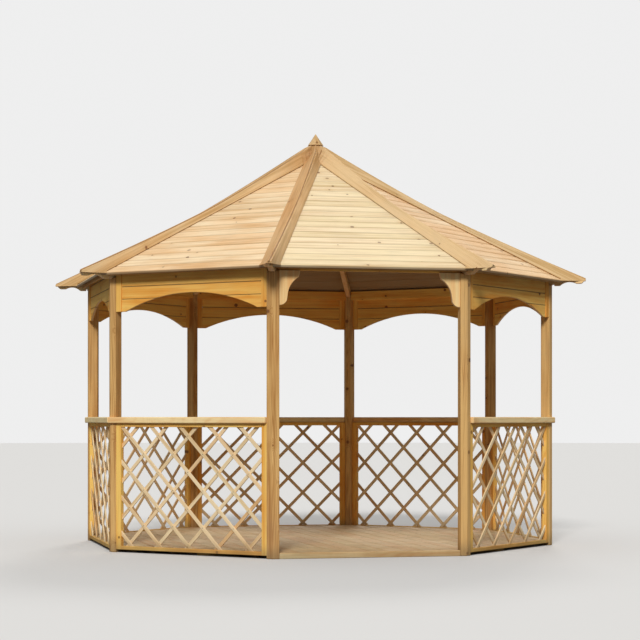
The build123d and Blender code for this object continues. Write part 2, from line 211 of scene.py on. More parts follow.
class GazeboRoofSizes(PropertyGroup):
    eave_height: length("Eave height", "Underside of the roof boards at the eave", 1.955)
    rise: length("Rise", "Height of the roof from the eave to the apex", 0.967)
    overhang: length("Overhang", "Reach of the eave past the posts' outer faces", 0.083)
    board_thickness: length("Board thickness", "Thickness of the roof boards", 0.02)
    board_pitch: length("Board pitch", "Cover width of the roof boards", 0.093)
    joint_gap: length("Joint gap", "Open part of the joint between roof boards", 0.002)
    joint_bevel: length("Joint bevel", "Bevel beside the joint between roof boards", 0.008)
    tongue: length("Tongue", "Length of a roof board's tongue", 0.006)
    cap_foot: length("Hip board foot", "Distance of a hip board's foot from the hip", 0.066)
    cap_foot_thickness: length("Hip board thickness", "Level thickness of a hip board", 0.022)
    cap_ridge: length("Hip ridge", "Sideways place of the ridge line on a hip", 0.018)
    cap_seam: length("Seam", "Open seam between the two boards of a hip", 0.006)
    cap_foot_lift: length("Foot lift", "Height of a hip board's lower edge over the panel", 0.008)
    cap_start: length("Hip board head", "Distance of the hip boards' heads from the axis", 0.045)
    cap_waist: length("Waist", "Distance of the hip boards' lowest ridge from the axis", 0.95)
    cap_waist_rise: length("Waist rise", "Rise of the ridge at the waist", 0.037)
    cap_head_rise: length("Head rise", "Rise of the ridge at the head", 0.105)
    cap_tip_rise: length("Tip rise", "Rise of the ridge at the tip", 0.095)
    cap_point: length("Point", "Length of the hip boards past the eave's corner", 0.1575)
    cap_end_lift: length("End lift", "Height of the hip boards' cut ends above the eave", 0.013)
    cap_rounding: length("Hip board rounding", "Rounding of the hip boards' edges", 0.004)
    eave_gap: length("Eave gap", "Gap between the eave and the hip boards' cut ends", 0.002)
    batten_thickness: length("Eave batten", "Thickness of the battens under the eave", 0.02)
    batten_setback: length("Eave batten setback", "Distance of the battens behind the eave", 0.04)
    batten_bottom: length("Eave batten bottom", "Underside of these battens", low("eave_boards").z)


class GazeboPanelSizes(PropertyGroup):
    valance_bottom: length("Valance bottom", "Height of a valance's ends", low("valance_back").z)
    arch_rise: length("Arch rise", "Rise of the valances' arch", 0.118)
    arch_end: length("Arch end", "Flat at each end of a valance's arch", 0.078)
    valance_setback: length("Valance setback", "Depth of the boards behind the posts' faces", 0.01)
    valance_thickness: length("Valance thickness", "Thickness of the valance boards", 0.018)
    valance_pitch: length("Valance pitch", "Cover width of the valance boards", 0.088)
    valance_gap: length("Valance gap", "Open joint between the valance boards", 0.0002)
    valance_rounding: length("Valance rounding", "Rounding of the valance boards' edges", 0.005)
    batten_width: length("Batten width", "Width of the upright end battens", 0.046)
    batten_setback: length("Batten setback", "Depth of the battens behind the posts' faces", 0.004)
    rail_top: length("Rail top", "Height of the handrails", high("handrails").z)
    rail_bottom: length("Rail bottom", "Height of the handrails' underside", low("handrails").z)
    rail_inner: length("Rail inner", "Depth of a handrail behind the posts' faces", 0.028)
    rail_lap: length("Rail lap", "Depth of a handrail before the posts' faces", 0.022)
    rail_rounding: length("Rail rounding", "Rounding of the handrails' edges", 0.007)
    lattice_bottom: length("Lattice bottom", "Underside of the panels", low("lattice_back").z)
    frame_height: length("Frame height", "Height of the panels' top and bottom rails", 0.026)
    stile_width: length("Stile width", "Width of the panels' upright stiles", 0.042)
    frame_thickness: length("Frame thickness", "Thickness of the panels' frame", 0.036)
    lattice_setback: length("Lattice setback", "Depth of the panels behind the posts' faces", 0.004)
    lath_width: length("Lath width", "Width of the sloping laths", 0.025)
    lath_thickness: length("Lath thickness", "Thickness of the sloping laths", 0.01)
    lath_pitch: length("Lath pitch", "Level distance between laths of one slope", 0.252)
    lath_start_height: length("Lath start height", "Height of the crossing nearest a stile", 0.57)
    lath_start_inset: length("Lath start inset", "Distance of that crossing from the stile", 0.069)
    nail_radius: length("Nail radius", "Radius of a nail's head", 0.0028)


class GazeboBracketSizes(PropertyGroup):
    width: length("Bracket width", "Width of a bracket at its top", 0.146)
    nose_rake: length("Nose rake", "Slope of the nose's upright edge", 0.009)
    nose_height: length("Nose height", "Height of the nose's upright edge", 0.046)
    hollow_width: length("Hollow width", "Width in the middle of the hollow", 0.084)
    hollow_drop: length("Hollow drop", "Depth of the hollow's middle under the top", 0.095)
    waist_width: length("Waist width", "Width at the waist", 0.062)
    waist_drop: length("Waist drop", "Depth of the waist under the top", 0.147)
    belly_width: length("Belly width", "Width at the lower end of the belly", 0.054)
    belly_drop: length("Belly drop", "Depth of the belly's end under the top", 0.204)
    toe_width: length("Toe width", "Width in the middle of the toe's curve", 0.034)
    toe_drop: length("Toe drop", "Depth of that middle under the top", 0.228)


class GazeboDeckSizes(PropertyGroup):
    top: length("Deck top", "Height of the deck", high("deck_boards").z)
    bottom: length("Deck underside", "Height of the deck boards' underside", low("deck_boards").z)
    board_width: length("Deck board", "Width of the deck boards", 0.12)
    board_gap: length("Deck gap", "Open joint between the deck boards", 0.005)
    board_rounding: length("Deck rounding", "Rounding of the deck boards' edges", 0.003)
    screw_radius: length("Screw radius", "Radius of a deck screw's head", 0.004)


class GazeboColours(PropertyGroup):
    roof_pale: colour("Roof pale", "Pale wood of the roof boards", (0.90, 0.73, 0.48))
    roof_deep: colour("Roof deep", "Deeper wood of the roof boards", (0.70, 0.50, 0.27))
    cap_pale: colour("Hip pale", "Pale wood of the hip boards", (0.72, 0.50, 0.26))
    cap_deep: colour("Hip deep", "Deeper wood of the hip boards", (0.50, 0.31, 0.12))
    frame_pale: colour("Frame pale", "Pale wood of the valances", (0.99, 0.64, 0.17))
    frame_deep: colour("Frame deep", "Deeper wood of the valances", (0.84, 0.38, 0.06))
    post_pale: colour("Post pale", "Pale wood of the posts", (0.76, 0.46, 0.17))
    post_deep: colour("Post deep", "Deeper wood of the posts", (0.46, 0.22, 0.06))
    rail_pale: colour("Rail pale", "Pale wood of the handrails", (0.98, 0.80, 0.44))
    rail_deep: colour("Rail deep", "Deeper wood of the handrails", (0.82, 0.50, 0.21))
    # Paler than the valances' wood: partly their own colour, partly painted light standing in for
    # the light on the brackets, which sit in the eave's shade
    bracket_pale: colour("Bracket pale", "Pale wood of the brackets", (0.99, 0.74, 0.36))
    bracket_deep: colour("Bracket deep", "Deeper wood of the brackets", (0.92, 0.55, 0.22))
    lattice_pale: colour("Lattice pale", "Pale wood of the laths", (0.92, 0.72, 0.44))
    lattice_deep: colour("Lattice deep", "Deeper wood of the laths", (0.68, 0.46, 0.22))
    deck_pale: colour("Deck pale", "Pale wood of the deck", (0.99, 0.72, 0.38))
    deck_deep: colour("Deck deep", "Deeper wood of the deck", (0.93, 0.55, 0.25))
    sawn_pale: colour("Sawn pale", "Freshly sawn edges", (0.96, 0.68, 0.40))
    sawn_deep: colour("Sawn deep", "Deeper part of sawn edges", (0.78, 0.48, 0.22))
    knot: colour("Knot", "Knots in every timber", (0.22, 0.075, 0.02))
    metal: colour("Nail", "Galvanised nails and screws", (0.30, 0.28, 0.25))
    floor: colour("Floor", "Plain pale floor under the gazebo", (0.70, 0.69, 0.67))


class GazeboStageSettings(PropertyGroup):
    camera_x: length("Camera X", "Place of the camera along X", -3.42)
    camera_y: length("Camera Y", "Place of the camera along Y", -14.592)
    camera_z: length("Camera Z", "Height of the camera", 0.95)
    heading: degrees("Heading", "Turn of the camera from +Y towards +X", 13.32)
    lens: number("Lens", "Focal length in millimetres", 110.79)
    shift: number("Shift", "Upward shift of the lens", 0.1527)
    sun_heading: degrees("Sun heading", "Turn of the lamp from the front to the left", 20.0)
    sun_height: degrees("Sun height", "Lamp's angle above the horizon", 34.0)
    sun_size: degrees("Sun size", "Angle that the lamp fills", 14.0)
    sun_strength: number("Sun strength", "Strength of the lamp", 2.4)
    back_strength: number("Back strength", "Strength of the lamp behind", 0.8)
    sky_strength: number("Sky strength", "Light from straight above", 0.62)
    rim_strength: number("Rim strength", "Light from the horizon", 0.10)
    bounce: number("Bounce", "Share of light that the floor gives back", 0.17)
    floor_radius: length("Floor radius", "Radius of the floor", 60.0)


SETTING_GROUPS = {
    "gazebo_frame": GazeboFrameSizes,
    "gazebo_roof": GazeboRoofSizes,
    "gazebo_panels": GazeboPanelSizes,
    "gazebo_brackets": GazeboBracketSizes,
    "gazebo_deck": GazeboDeckSizes,
    "gazebo_colours": GazeboColours,
    "gazebo_stage": GazeboStageSettings,
}


class Plan:
    """Lines of the gazebo that several pieces share, worked out from the settings."""

    def __init__(self, scene):
        self.frame = scene.gazebo_frame
        self.roof = scene.gazebo_roof
        self.panels = scene.gazebo_panels
        self.brackets = scene.gazebo_brackets
        self.deck = scene.gazebo_deck
        self.reach = self.frame.post_circle_radius * COS_HALF
        bay_half = self.frame.post_circle_radius * SIN_HALF
        self.opening_half = bay_half - self.frame.post_face
        self.eave_reach = self.reach + self.roof.overhang
        pitch = math.atan(self.roof.rise / self.eave_reach)
        self.board_rise = self.roof.board_thickness / math.cos(pitch)
        self.cap_tip = self.eave_reach / COS_HALF + self.roof.cap_point

    def roof_height(self, reach):
        """Height of the roof boards' underside at a distance from the axis, across a bay."""
        return self.roof.eave_height + self.roof.rise * (1.0 - reach / self.eave_reach)

    def hip_height(self, radius):
        return self.roof_height(radius * COS_HALF)

    def ridge_height(self, radius):
        """Height of the hip boards' upper edge, lowest over the roof at the waist."""
        r = self.roof
        end_rise, span = r.cap_head_rise, r.cap_waist - r.cap_start
        if radius > r.cap_waist:
            end_rise, span = r.cap_tip_rise, self.cap_tip - r.cap_waist
        sweep = (abs(radius - r.cap_waist) / span) ** RIDGE_SWEEP
        rise = r.cap_waist_rise + (end_rise - r.cap_waist_rise) * sweep
        return self.hip_height(radius) + self.board_rise + rise

    def upright(self, bay, inset):
        """Places a board drawn in a bay's upright plane, its thickness outwards."""
        face = Matrix(((1, 0, 0, 0), (0, 0, -1, inset - self.reach), (0, 1, 0, 0), (0, 0, 0, 1)))
        return Matrix.Rotation(BAY_ANGLE * bay, 4, "Z") @ face

    def level(self, bay, height):
        """Places a board drawn in plan at a height."""
        return Matrix.Rotation(BAY_ANGLE * bay, 4, "Z") @ Matrix.Translation((0, 0, height))


def corner_turn(corner):
    return Matrix.Rotation(HALF_ANGLE + BAY_ANGLE * corner, 4, "Z")


def arc_points(start, middle, end, steps):
    """Points on the arc through three points, both ends included."""
    ax, ay = start
    bx, by = middle
    cx, cy = end
    d = 2.0 * (ax * (by - cy) + bx * (cy - ay) + cx * (ay - by))
    a2 = ax * ax + ay * ay
    b2 = bx * bx + by * by
    c2 = cx * cx + cy * cy
    ux = (a2 * (by - cy) + b2 * (cy - ay) + c2 * (ay - by)) / d
    uy = (a2 * (cx - bx) + b2 * (ax - cx) + c2 * (bx - ax)) / d
    radius = math.hypot(ax - ux, ay - uy)
    first = math.atan2(ay - uy, ax - ux)
    through = math.atan2(by - uy, bx - ux)
    last = math.atan2(cy - uy, cx - ux)
    sweep = (last - first) % math.tau
    if (through - first) % math.tau > sweep:
        sweep -= math.tau
    points = []
    for step in range(steps + 1):
        angle = first + sweep * step / steps
        points.append((ux + radius * math.cos(angle), uy + radius * math.sin(angle)))
    return points


def across(lower, upper, height):
    """Sideways place at a height on the line through two (side, height) points."""
    return lower[0] + (upper[0] - lower[0]) * (height - lower[1]) / (upper[1] - lower[1])


def clipped(outline, normal, limit):
    """Convex outline cut to the side where normal . point <= limit."""
    kept = []
    for index, point in enumerate(outline):
        previous = outline[index - 1]
        inside = point[0] * normal[0] + point[1] * normal[1] - limit
        before = previous[0] * normal[0] + previous[1] * normal[1] - limit
        if (inside <= 0.0) != (before <= 0.0):
            share = before / (before - inside)
            x = previous[0] + share * (point[0] - previous[0])
            y = previous[1] + share * (point[1] - previous[1])
            kept.append((x, y))
        if inside <= 0.0:
            kept.append(point)
    return kept


def rectangle(left, right, bottom, top):
    return [(left, bottom), (right, bottom), (right, top), (left, top)]


def eight_sided(x, y, radius, turn=0.0):
    """Outline of a round head or an eight-sided neck; turn is a share of one side."""
    angles = [BAY_ANGLE * (side + turn) for side in range(BAY_COUNT)]
    return [(x + radius * math.cos(angle), y + radius * math.sin(angle)) for angle in angles]


def prism(outline, thickness, rounding, segments=2):
    """Board with an outline in XY, centred on Z, its edges rounded where they are sharp."""
    mesh = bmesh.new()
    base = mesh.faces.new([mesh.verts.new((x, y, -thickness / 2.0)) for x, y in outline])
    raised = bmesh.ops.extrude_face_region(mesh, geom=[base])["geom"]
    verts = [item for item in raised if isinstance(item, bmesh.types.BMVert)]
    bmesh.ops.translate(mesh, verts=verts, vec=(0, 0, thickness))
    bmesh.ops.recalc_face_normals(mesh, faces=mesh.faces)
    mesh.normal_update()
    sharp = [edge for edge in mesh.edges if edge.calc_face_angle(0.0) > SHARP_ANGLE]
    if rounding > 0.0:
        bmesh.ops.bevel(
            mesh,
            geom=sharp,
            offset=rounding,
            offset_type="OFFSET",
            segments=segments,
            profile=0.5,
            affect="EDGES",
            clamp_overlap=True,
        )
    return mesh


def loft(sections):
    """Solid board through closed sections that have the same number of points."""
    mesh = bmesh.new()
    rings = [[mesh.verts.new(point) for point in section] for section in sections]
    count = len(rings[0])
    for first, second in zip(rings, rings[1:]):
        for index in range(count):
            after = (index + 1) % count
            mesh.faces.new((first[index], first[after], second[after], second[index]))
    mesh.faces.new(rings[0])
    mesh.faces.new(list(reversed(rings[-1])))
    bmesh.ops.recalc_face_normals(mesh, faces=mesh.faces)
    return mesh


ALONG_X = Matrix.Identity(3)
ALONG_Y = Matrix(((0, 1, 0), (1, 0, 0), (0, 0, 1)))
ALONG_Z = Matrix(((0, 0, 1), (1, 0, 0), (0, 1, 0)))


def grain_down_hip(slope):
    """Grain that runs down a hip drawn along -Y."""
    return Matrix(((0, -1, 0), (1, 0, 0), (0, -slope, 1)))


def grain_at(angle):
    """Grain that runs at an angle in the board's own XY plane."""
    return Matrix.Rotation(-angle, 3, "Z")


def new_object(name, data):
    """New object in the scene."""
    made = bpy.data.objects.new(name, data)
    bpy.context.scene.collection.objects.link(made)
    return made


class Joinery:
    """Gathers the boards of one piece, each point with its place in its own board's grain."""

    def __init__(self, name, warmth=None, spread=0.2):
        self.name = name
        self.random = random.Random(name)
        self.warmth = self.random.uniform(0.4, 0.75) if warmth is None else warmth
        self.spread = spread
        self.points = []
        self.faces = []
        self.finish = []
        self.grain = []
        self.values = {TONE_ATTRIBUTE: [], WARMTH_ATTRIBUTE: [], GRIME_AND_SHADE_ATTRIBUTE: []}

    def add(self, mesh, place, grain=ALONG_X, sawn=False, tone=None, grime_and_shade=None):
        """Adds one board; sawn marks its cut sides, and the last argument darkens points by their
        index with grime and painted shade.
        """
        grime_and_shade = grime_and_shade or {}
        start = len(self.points)
        # Each board is cut from a place of its own in the trunk
        pick = self.random
        along, beside = pick.uniform(0.0, 60.0), pick.uniform(-0.06, 0.06)
        shift = Vector((along, beside, pick.uniform(0.012, 0.075)))
        board_tone = pick.random() if tone is None else tone
        board_warmth = self.warmth + pick.uniform(-self.spread, self.spread)
        mesh.verts.index_update()
        mesh.normal_update()
        for vert in mesh.verts:
            self.points.append(place @ vert.co)
            self.grain.append(grain @ vert.co + shift)
            self.values[TONE_ATTRIBUTE].append(board_tone)
            self.values[WARMTH_ATTRIBUTE].append(board_warmth)
            self.values[GRIME_AND_SHADE_ATTRIBUTE].append(grime_and_shade.get(vert.index, 0.0))
        for face in mesh.faces:
            self.faces.append([start + vert.index for vert in face.verts])
            self.finish.append(1 if sawn and abs(face.normal.z) < 0.5 else 0)
        mesh.free()

    def build(self, nodes, materials):
        """Makes the object, rides it on the body and lets it stand for the nodes."""
        data = bpy.data.meshes.new(self.name)
        data.from_pydata(self.points, [], self.faces)
        place = data.attributes.new(GRAIN_ATTRIBUTE, "FLOAT_VECTOR", "POINT")
        place.data.foreach_set("vector", [number for point in self.grain for number in point])
        for attribute, numbers in self.values.items():
            stored = data.attributes.new(attribute, "FLOAT", "POINT")
            stored.data.foreach_set("value", numbers)
        for name in materials:
            data.materials.append(bpy.data.materials[name])
        if len(materials) > 1:
            data.polygons.foreach_set("material_index", self.finish)
        data.update()
        piece = new_object(self.name, data)
        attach(piece, BODY)
        if nodes:
            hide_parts(*nodes)


class ShaderTree:
    """Short calls for the nodes of one shader tree."""

    def __init__(self, tree):
        self.tree = tree

    def node(self, kind, **settings):
        made = self.tree.nodes.new(kind)
        for name, value in settings.items():
            setattr(made, name, value)
        return made

    def feed(self, socket, value):
        if isinstance(value, bpy.types.NodeSocket):
            self.tree.links.new(value, socket)
        else:
            socket.default_value = value

    def fed(self, kind, values, **settings):
        """Outputs of a new node whose inputs take the values in order."""
        made = self.node(kind, **settings)
        for socket, value in zip(made.inputs, values):
            self.feed(socket, value)
        return made.outputs

    def maths(self, operation, *values):
        return self.fed("ShaderNodeMath", values, operation=operation)[0]

    def vector(self, operation, *values):
        outputs = self.fed("ShaderNodeVectorMath", values, operation=operation)
        return outputs["Value" if operation == "LENGTH" else "Vector"]

    def join(self, x, y, z):
        return self.fed("ShaderNodeCombineXYZ", (x, y, z))[0]

    def split(self, value):
        return self.fed("ShaderNodeSeparateXYZ", (value,))

    def noise(self, place, detail, roughness=0.5):
        made = self.node("ShaderNodeTexNoise")
        self.feed(made.inputs["Vector"], place)
        for label, value in (("Scale", 1.0), ("Detail", detail), ("Roughness", roughness)):
            made.inputs[label].default_value = value
        return made.outputs

    def ramp(self, value, from_low, from_high, to_low=0.0, to_high=1.0):
        limits = (from_low, from_high, to_low, to_high)
        kind = "ShaderNodeMapRange"
        return self.fed(kind, (value, *limits), interpolation_type="SMOOTHSTEP")[0]

    def blend(self, share, first, second, mode="MIX"):
        made = self.node("ShaderNodeMix", data_type="RGBA", blend_type=mode)
        self.feed(made.inputs["Factor"], share)
        self.feed(made.inputs["A"], first)
        self.feed(made.inputs["B"], second)
        return next(item for item in made.outputs if item.type == "RGBA")


def named_group(name, inputs, outputs):
    """Calls for the tree of a new shader group, and its sockets to read from and to feed."""
    group = bpy.data.node_groups.new(name, "ShaderNodeTree")
    for label, kind, default in inputs:
        socket = group.interface.new_socket(label, in_out="INPUT", socket_type=kind)
        if default is not None:
            socket.default_value = default
    for label, kind in outputs:
        group.interface.new_socket(label, in_out="OUTPUT", socket_type=kind)
    entry = group.nodes.new("NodeGroupInput")
    result = group.nodes.new("NodeGroupOutput")
    return ShaderTree(group), entry.outputs, result.inputs


GRAIN_GROUP = "Timber grain"
WEATHER_GROUP = "Weathering"

# Noise and knots per metre, along the grain, across it and into the board
KNOT_RATE = (2.6, 7.5, 1.0)
KNOT_EDGE_RATE = (160.0, 160.0, 160.0)
DRIFT_RATE = (0.9, 3.0, 3.0)
FIBRE_RATE = (7.0, 420.0, 420.0)
STREAK_RATE = (1.3, 42.0, 42.0)
BLOTCH_RATE = (2.2, 7.0, 7.0)
WEATHER_RATE = (5.0, 5.0, 2.2)
RUST_RATE = (300.0, 300.0, 300.0)

# Colours that the finishes blend in
OLIVE_CAST = (0.80, 0.84, 0.55, 1.0)
RED_CAST = (0.93, 0.70, 0.50, 1.0)
# Dark brown used both for grime and for painted shade
GRIME_AND_SHADE = (0.20, 0.10, 0.04, 1.0)
SPLASHED_DIRT = (0.18, 0.13, 0.07, 1.0)
GREY_BLOOM = (0.42, 0.36, 0.27, 1.0)
RUST = (0.16, 0.09, 0.05, 1.0)
WHITE = (1.0, 1.0, 1.0, 1.0)
BACKDROP = (0.86, 0.86, 0.86, 1.0)


def build_timber_group():
    """Knots, growth rings, fibres and casts of softwood, from a place in the trunk, with grime and
    painted shade over them.
    """
    s, given, made = named_group(
        GRAIN_GROUP,
        [
            ("Place", "NodeSocketVector", None),
            ("Tone", "NodeSocketFloat", 0.5),
            ("Warmth", "NodeSocketFloat", 0.5),
            ("Grime and shade", "NodeSocketFloat", 0.0),
            ("Pale", "NodeSocketColor", (0.8, 0.6, 0.4, 1.0)),
            ("Deep", "NodeSocketColor", (0.6, 0.4, 0.2, 1.0)),
            ("Knot", "NodeSocketColor", (0.2, 0.08, 0.03, 1.0)),
            ("Ring spacing", "NodeSocketFloat", 0.005),
            ("Knot share", "NodeSocketFloat", 0.4),
            ("Ring depth", "NodeSocketFloat", 0.35),
        ],
        [
            ("Colour", "NodeSocketColor"),
            ("Roughness", "NodeSocketFloat"),
            ("Height", "NodeSocketFloat"),
        ],
    )
    x, y, z = s.split(given["Place"])

    # Knots: cells drawn out along the grain, some of which hold a knot
    knot_place = s.vector("MULTIPLY", s.join(x, y, 0.0), KNOT_RATE)
    cells = s.node("ShaderNodeTexVoronoi", voronoi_dimensions="2D")
    s.feed(cells.inputs["Vector"], knot_place)
    cells.inputs["Scale"].default_value = 1.0
    cells.inputs["Randomness"].default_value = 0.85
    offset = s.vector("SUBTRACT", knot_place, cells.outputs["Position"])
    offset = s.vector("DIVIDE", offset, KNOT_RATE)
    distance = s.vector("LENGTH", offset)
    chance, size, shade = s.split(cells.outputs["Color"])
    chosen = s.maths("LESS_THAN", chance, given["Knot share"])
    radius = s.maths("MULTIPLY_ADD", size, 0.010, 0.005)
    ragged = s.noise(s.vector("MULTIPLY", given["Place"], KNOT_EDGE_RATE), 1.0)["Fac"]
    edge = s.maths("MULTIPLY_ADD", ragged, 0.004, s.maths("SUBTRACT", distance, 0.002))
    inside = s.ramp(s.maths("DIVIDE", edge, radius), 0.8, 1.15, 1.0, 0.0)
    knot_mask = s.maths("MULTIPLY", inside, chosen)
    near = s.maths("MULTIPLY", s.ramp(distance, 0.0, 0.055, 1.0, 0.0), chosen)

    # Growth rings round a wandering pith, bent aside by the knots
    drift = s.noise(s.vector("MULTIPLY", given["Place"], DRIFT_RATE), 2.0)["Color"]
    drift_y, drift_z, _ = s.split(drift)
    across = s.maths("MULTIPLY_ADD", drift_y, 0.09, y)
    depth = s.maths("MULTIPLY_ADD", drift_z, 0.06, z)
    pith = s.vector("LENGTH", s.join(across, depth, 0.0))
    bent = s.maths("MULTIPLY_ADD", near, 0.016, pith)
    phase = s.maths("DIVIDE", bent, given["Ring spacing"])
    wave = s.maths("SINE", s.maths("MULTIPLY", phase, math.tau))
    ring = s.maths("POWER", s.maths("MULTIPLY_ADD", wave, 0.5, 0.5), 2.2)

    # Share of the deeper colour, from rings, streaks, blotches and the board's own tone
    fibre = s.noise(s.vector("MULTIPLY", given["Place"], FIBRE_RATE), 2.0, 0.6)["Fac"]
    streak = s.noise(s.vector("MULTIPLY", given["Place"], STREAK_RATE), 3.0, 0.6)["Fac"]
    blotch = s.noise(s.vector("MULTIPLY", given["Place"], BLOTCH_RATE), 2.0)["Fac"]
    share = s.maths("MULTIPLY", ring, given["Ring depth"])
    share = s.maths("ADD", share, s.maths("MULTIPLY_ADD", streak, 2.9, -1.45))
    share = s.maths("ADD", share, s.maths("MULTIPLY_ADD", blotch, 1.2, -0.55))
    share = s.maths("ADD", share, s.maths("MULTIPLY_ADD", given["Tone"], 0.55, -0.2))
    share = s.maths("ADD", share, s.maths("MULTIPLY", near, 0.25))
    share = s.maths("MINIMUM", s.maths("MAXIMUM", share, 0.0), 1.2)
    shown = s.blend(share, given["Pale"], given["Deep"])

    # Casts, fibres and knots over that colour, then grime and painted shade
    hue = s.maths("MULTIPLY_ADD", s.maths("SUBTRACT", blotch, 0.5), 0.6, given["Warmth"])
    olive = s.ramp(hue, 0.0, 0.5, 0.30, 0.0)
    shown = s.blend(olive, shown, OLIVE_CAST, "MULTIPLY")
    red = s.ramp(hue, 0.45, 1.0, 0.0, 0.85)
    shown = s.blend(red, shown, RED_CAST, "MULTIPLY")
    fine = s.ramp(fibre, 0.25, 0.75, 0.90, 1.05)
    shown = s.vector("MULTIPLY", shown, s.join(fine, fine, fine))
    core = s.ramp(s.maths("DIVIDE", edge, radius), 0.0, 0.9, 0.55, 1.0)
    knot_colour = s.vector("MULTIPLY", given["Knot"], s.join(core, core, core))
    strength = s.maths("MULTIPLY", knot_mask, s.maths("MULTIPLY_ADD", shade, 0.35, 0.55))
    shown = s.blend(strength, shown, knot_colour)
    # Grime and painted shade: the per-point value darkens the wood towards this dark brown
    shown = s.blend(s.maths("MULTIPLY", given["Grime and shade"], 0.45), shown, GRIME_AND_SHADE)
    s.feed(made["Colour"], shown)

    # Late wood and knots are smoother and stand proud
    rough = s.maths("MULTIPLY_ADD", ring, -0.10, 0.72)
    rough = s.maths("SUBTRACT", rough, s.maths("MULTIPLY", knot_mask, 0.18))
    s.feed(made["Roughness"], rough)
    height = s.maths("MULTIPLY_ADD", ring, 0.45, s.maths("MULTIPLY", fibre, 0.6))
    s.feed(made["Height"], s.maths("ADD", height, s.maths("MULTIPLY", knot_mask, 0.5)))


def build_weather_group():
    """Rain splash and dirt near the ground, and grey bloom in patches."""
    s, given, made = named_group(
        WEATHER_GROUP,
        [
            ("Colour", "NodeSocketColor", (0.6, 0.4, 0.2, 1.0)),
            ("Splash height", "NodeSocketFloat", 0.16),
            ("Bloom", "NodeSocketFloat", 0.15),
        ],
        [("Colour", "NodeSocketColor")],
    )
    position = s.node("ShaderNodeNewGeometry").outputs["Position"]
    height = s.split(position)[2]
    patches = s.noise(s.vector("MULTIPLY", position, WEATHER_RATE), 4.0, 0.6)["Fac"]
    wet = s.maths("MULTIPLY_ADD", patches, 0.14, s.maths("SUBTRACT", height, 0.05))
    splash = s.ramp(s.maths("DIVIDE", wet, given["Splash height"]), 0.15, 1.0, 0.55, 0.0)
    shown = s.blend(splash, given["Colour"], SPLASHED_DIRT)
    grey = s.maths("MULTIPLY", s.ramp(patches, 0.45, 0.75), given["Bloom"])
    s.feed(made["Colour"], s.blend(grey, shown, GREY_BLOOM))


def new_material(name):
    """New material, the calls for its tree and the inputs of its shader."""
    material = bpy.data.materials.new(name)
    material.use_nodes = True
    tree = material.node_tree
    return material, ShaderTree(tree), tree.nodes["Principled BSDF"].inputs


def timber_material(name, woods, knot, rings, bloom, bump, on_node):
    """Softwood finish; on_node reads the object's own place, where no board's is stored."""
    pale, deep = woods
    spacing, knots, depth = rings
    _, s, shader = new_material(name)
    grain = s.node("ShaderNodeGroup", node_tree=bpy.data.node_groups[GRAIN_GROUP])
    if on_node:
        place = s.node("ShaderNodeTexCoord").outputs["Object"]
    else:
        place = s.node("ShaderNodeAttribute", attribute_name=GRAIN_ATTRIBUTE).outputs["Vector"]
        for label, attribute in (
            ("Tone", TONE_ATTRIBUTE),
            ("Warmth", WARMTH_ATTRIBUTE),
            ("Grime and shade", GRIME_AND_SHADE_ATTRIBUTE),
        ):
            stored = s.node("ShaderNodeAttribute", attribute_name=attribute)
            s.feed(grain.inputs[label], stored.outputs["Fac"])
    s.feed(grain.inputs["Place"], place)
    for label, value in (("Pale", pale), ("Deep", deep), ("Knot", knot)):
        grain.inputs[label].default_value = (*value, 1.0)
    for label, value in (("Ring spacing", spacing), ("Knot share", knots), ("Ring depth", depth)):
        grain.inputs[label].default_value = value
    weather = s.node("ShaderNodeGroup", node_tree=bpy.data.node_groups[WEATHER_GROUP])
    weather.inputs["Bloom"].default_value = bloom
    s.feed(weather.inputs["Colour"], grain.outputs["Colour"])
    s.feed(shader["Base Color"], weather.outputs["Colour"])
    s.feed(shader["Roughness"], grain.outputs["Roughness"])
    shader["Specular IOR Level"].default_value = 0.18
    relief = s.node("ShaderNodeBump")
    relief.inputs["Strength"].default_value = bump
    relief.inputs["Distance"].default_value = 0.001
    s.feed(relief.inputs["Height"], grain.outputs["Height"])
    s.feed(shader["Normal"], relief.outputs["Normal"])


def metal_material(name, base):
    """Dull metal with fine spots of rust."""
    _, s, shader = new_material(name)
    place = s.node("ShaderNodeTexCoord").outputs["Object"]
    spots = s.noise(s.vector("MULTIPLY", place, RUST_RATE), 2.0)["Fac"]
    rusty = s.ramp(spots, 0.45, 0.65)
    s.feed(shader["Base Color"], s.blend(rusty, (*base, 1.0), RUST))
    s.feed(shader["Roughness"], s.ramp(spots, 0.3, 0.7, 0.4, 0.75))
    shader["Metallic"].default_value = 0.8


HIDDEN_FINISH = "Hidden timber"
NAIL_FINISH = "Nail metal"

# Timber finishes: the settings' colours, then ring spacing, knot share and ring depth, bloom, bump
TIMBER_FINISHES = {
    "Roof boards": ("roof", (0.0065, 0.38, 0.42), 0.10, 0.25),
    "Hip boards": ("cap", (0.006, 0.45, 0.42), 0.10, 0.25),
    "Frame timber": ("frame", (0.006, 0.70, 0.48), 0.06, 0.25),
    "Post timber": ("post", (0.005, 0.75, 0.45), 0.12, 0.25),
    "Rail timber": ("rail", (0.005, 0.40, 0.35), 0.10, 0.25),
    "Bracket timber": ("bracket", (0.006, 0.40, 0.40), 0.04, 0.25),
    "Lattice laths": ("lattice", (0.004, 0.20, 0.30), 0.10, 0.25),
    "Deck boards": ("deck", (0.006, 0.30, 0.45), 0.20, 0.45),
    "Sawn edges": ("sawn", (0.004, 0.12, 0.25), 0.10, 0.40),
    HIDDEN_FINISH: ("frame", (0.005, 0.30, 0.40), 0.20, 0.25),
}


class GAZEBO_OT_finishes(Operator):
    """Makes the timber and metal finishes"""

    bl_idname = "gazebo.finishes"
    bl_label = "Finishes"

    def execute(self, context):
        colours = context.scene.gazebo_colours
        build_timber_group()
        build_weather_group()
        for name, (wood, rings, bloom, bump) in TIMBER_FINISHES.items():
            woods = [getattr(colours, wood + shade) for shade in ("_pale", "_deep")]
            on_node = name == HIDDEN_FINISH
            timber_material(name, woods, colours.knot, rings, bloom, bump, on_node)
        metal_material(NAIL_FINISH, colours.metal)
        return {"FINISHED"}


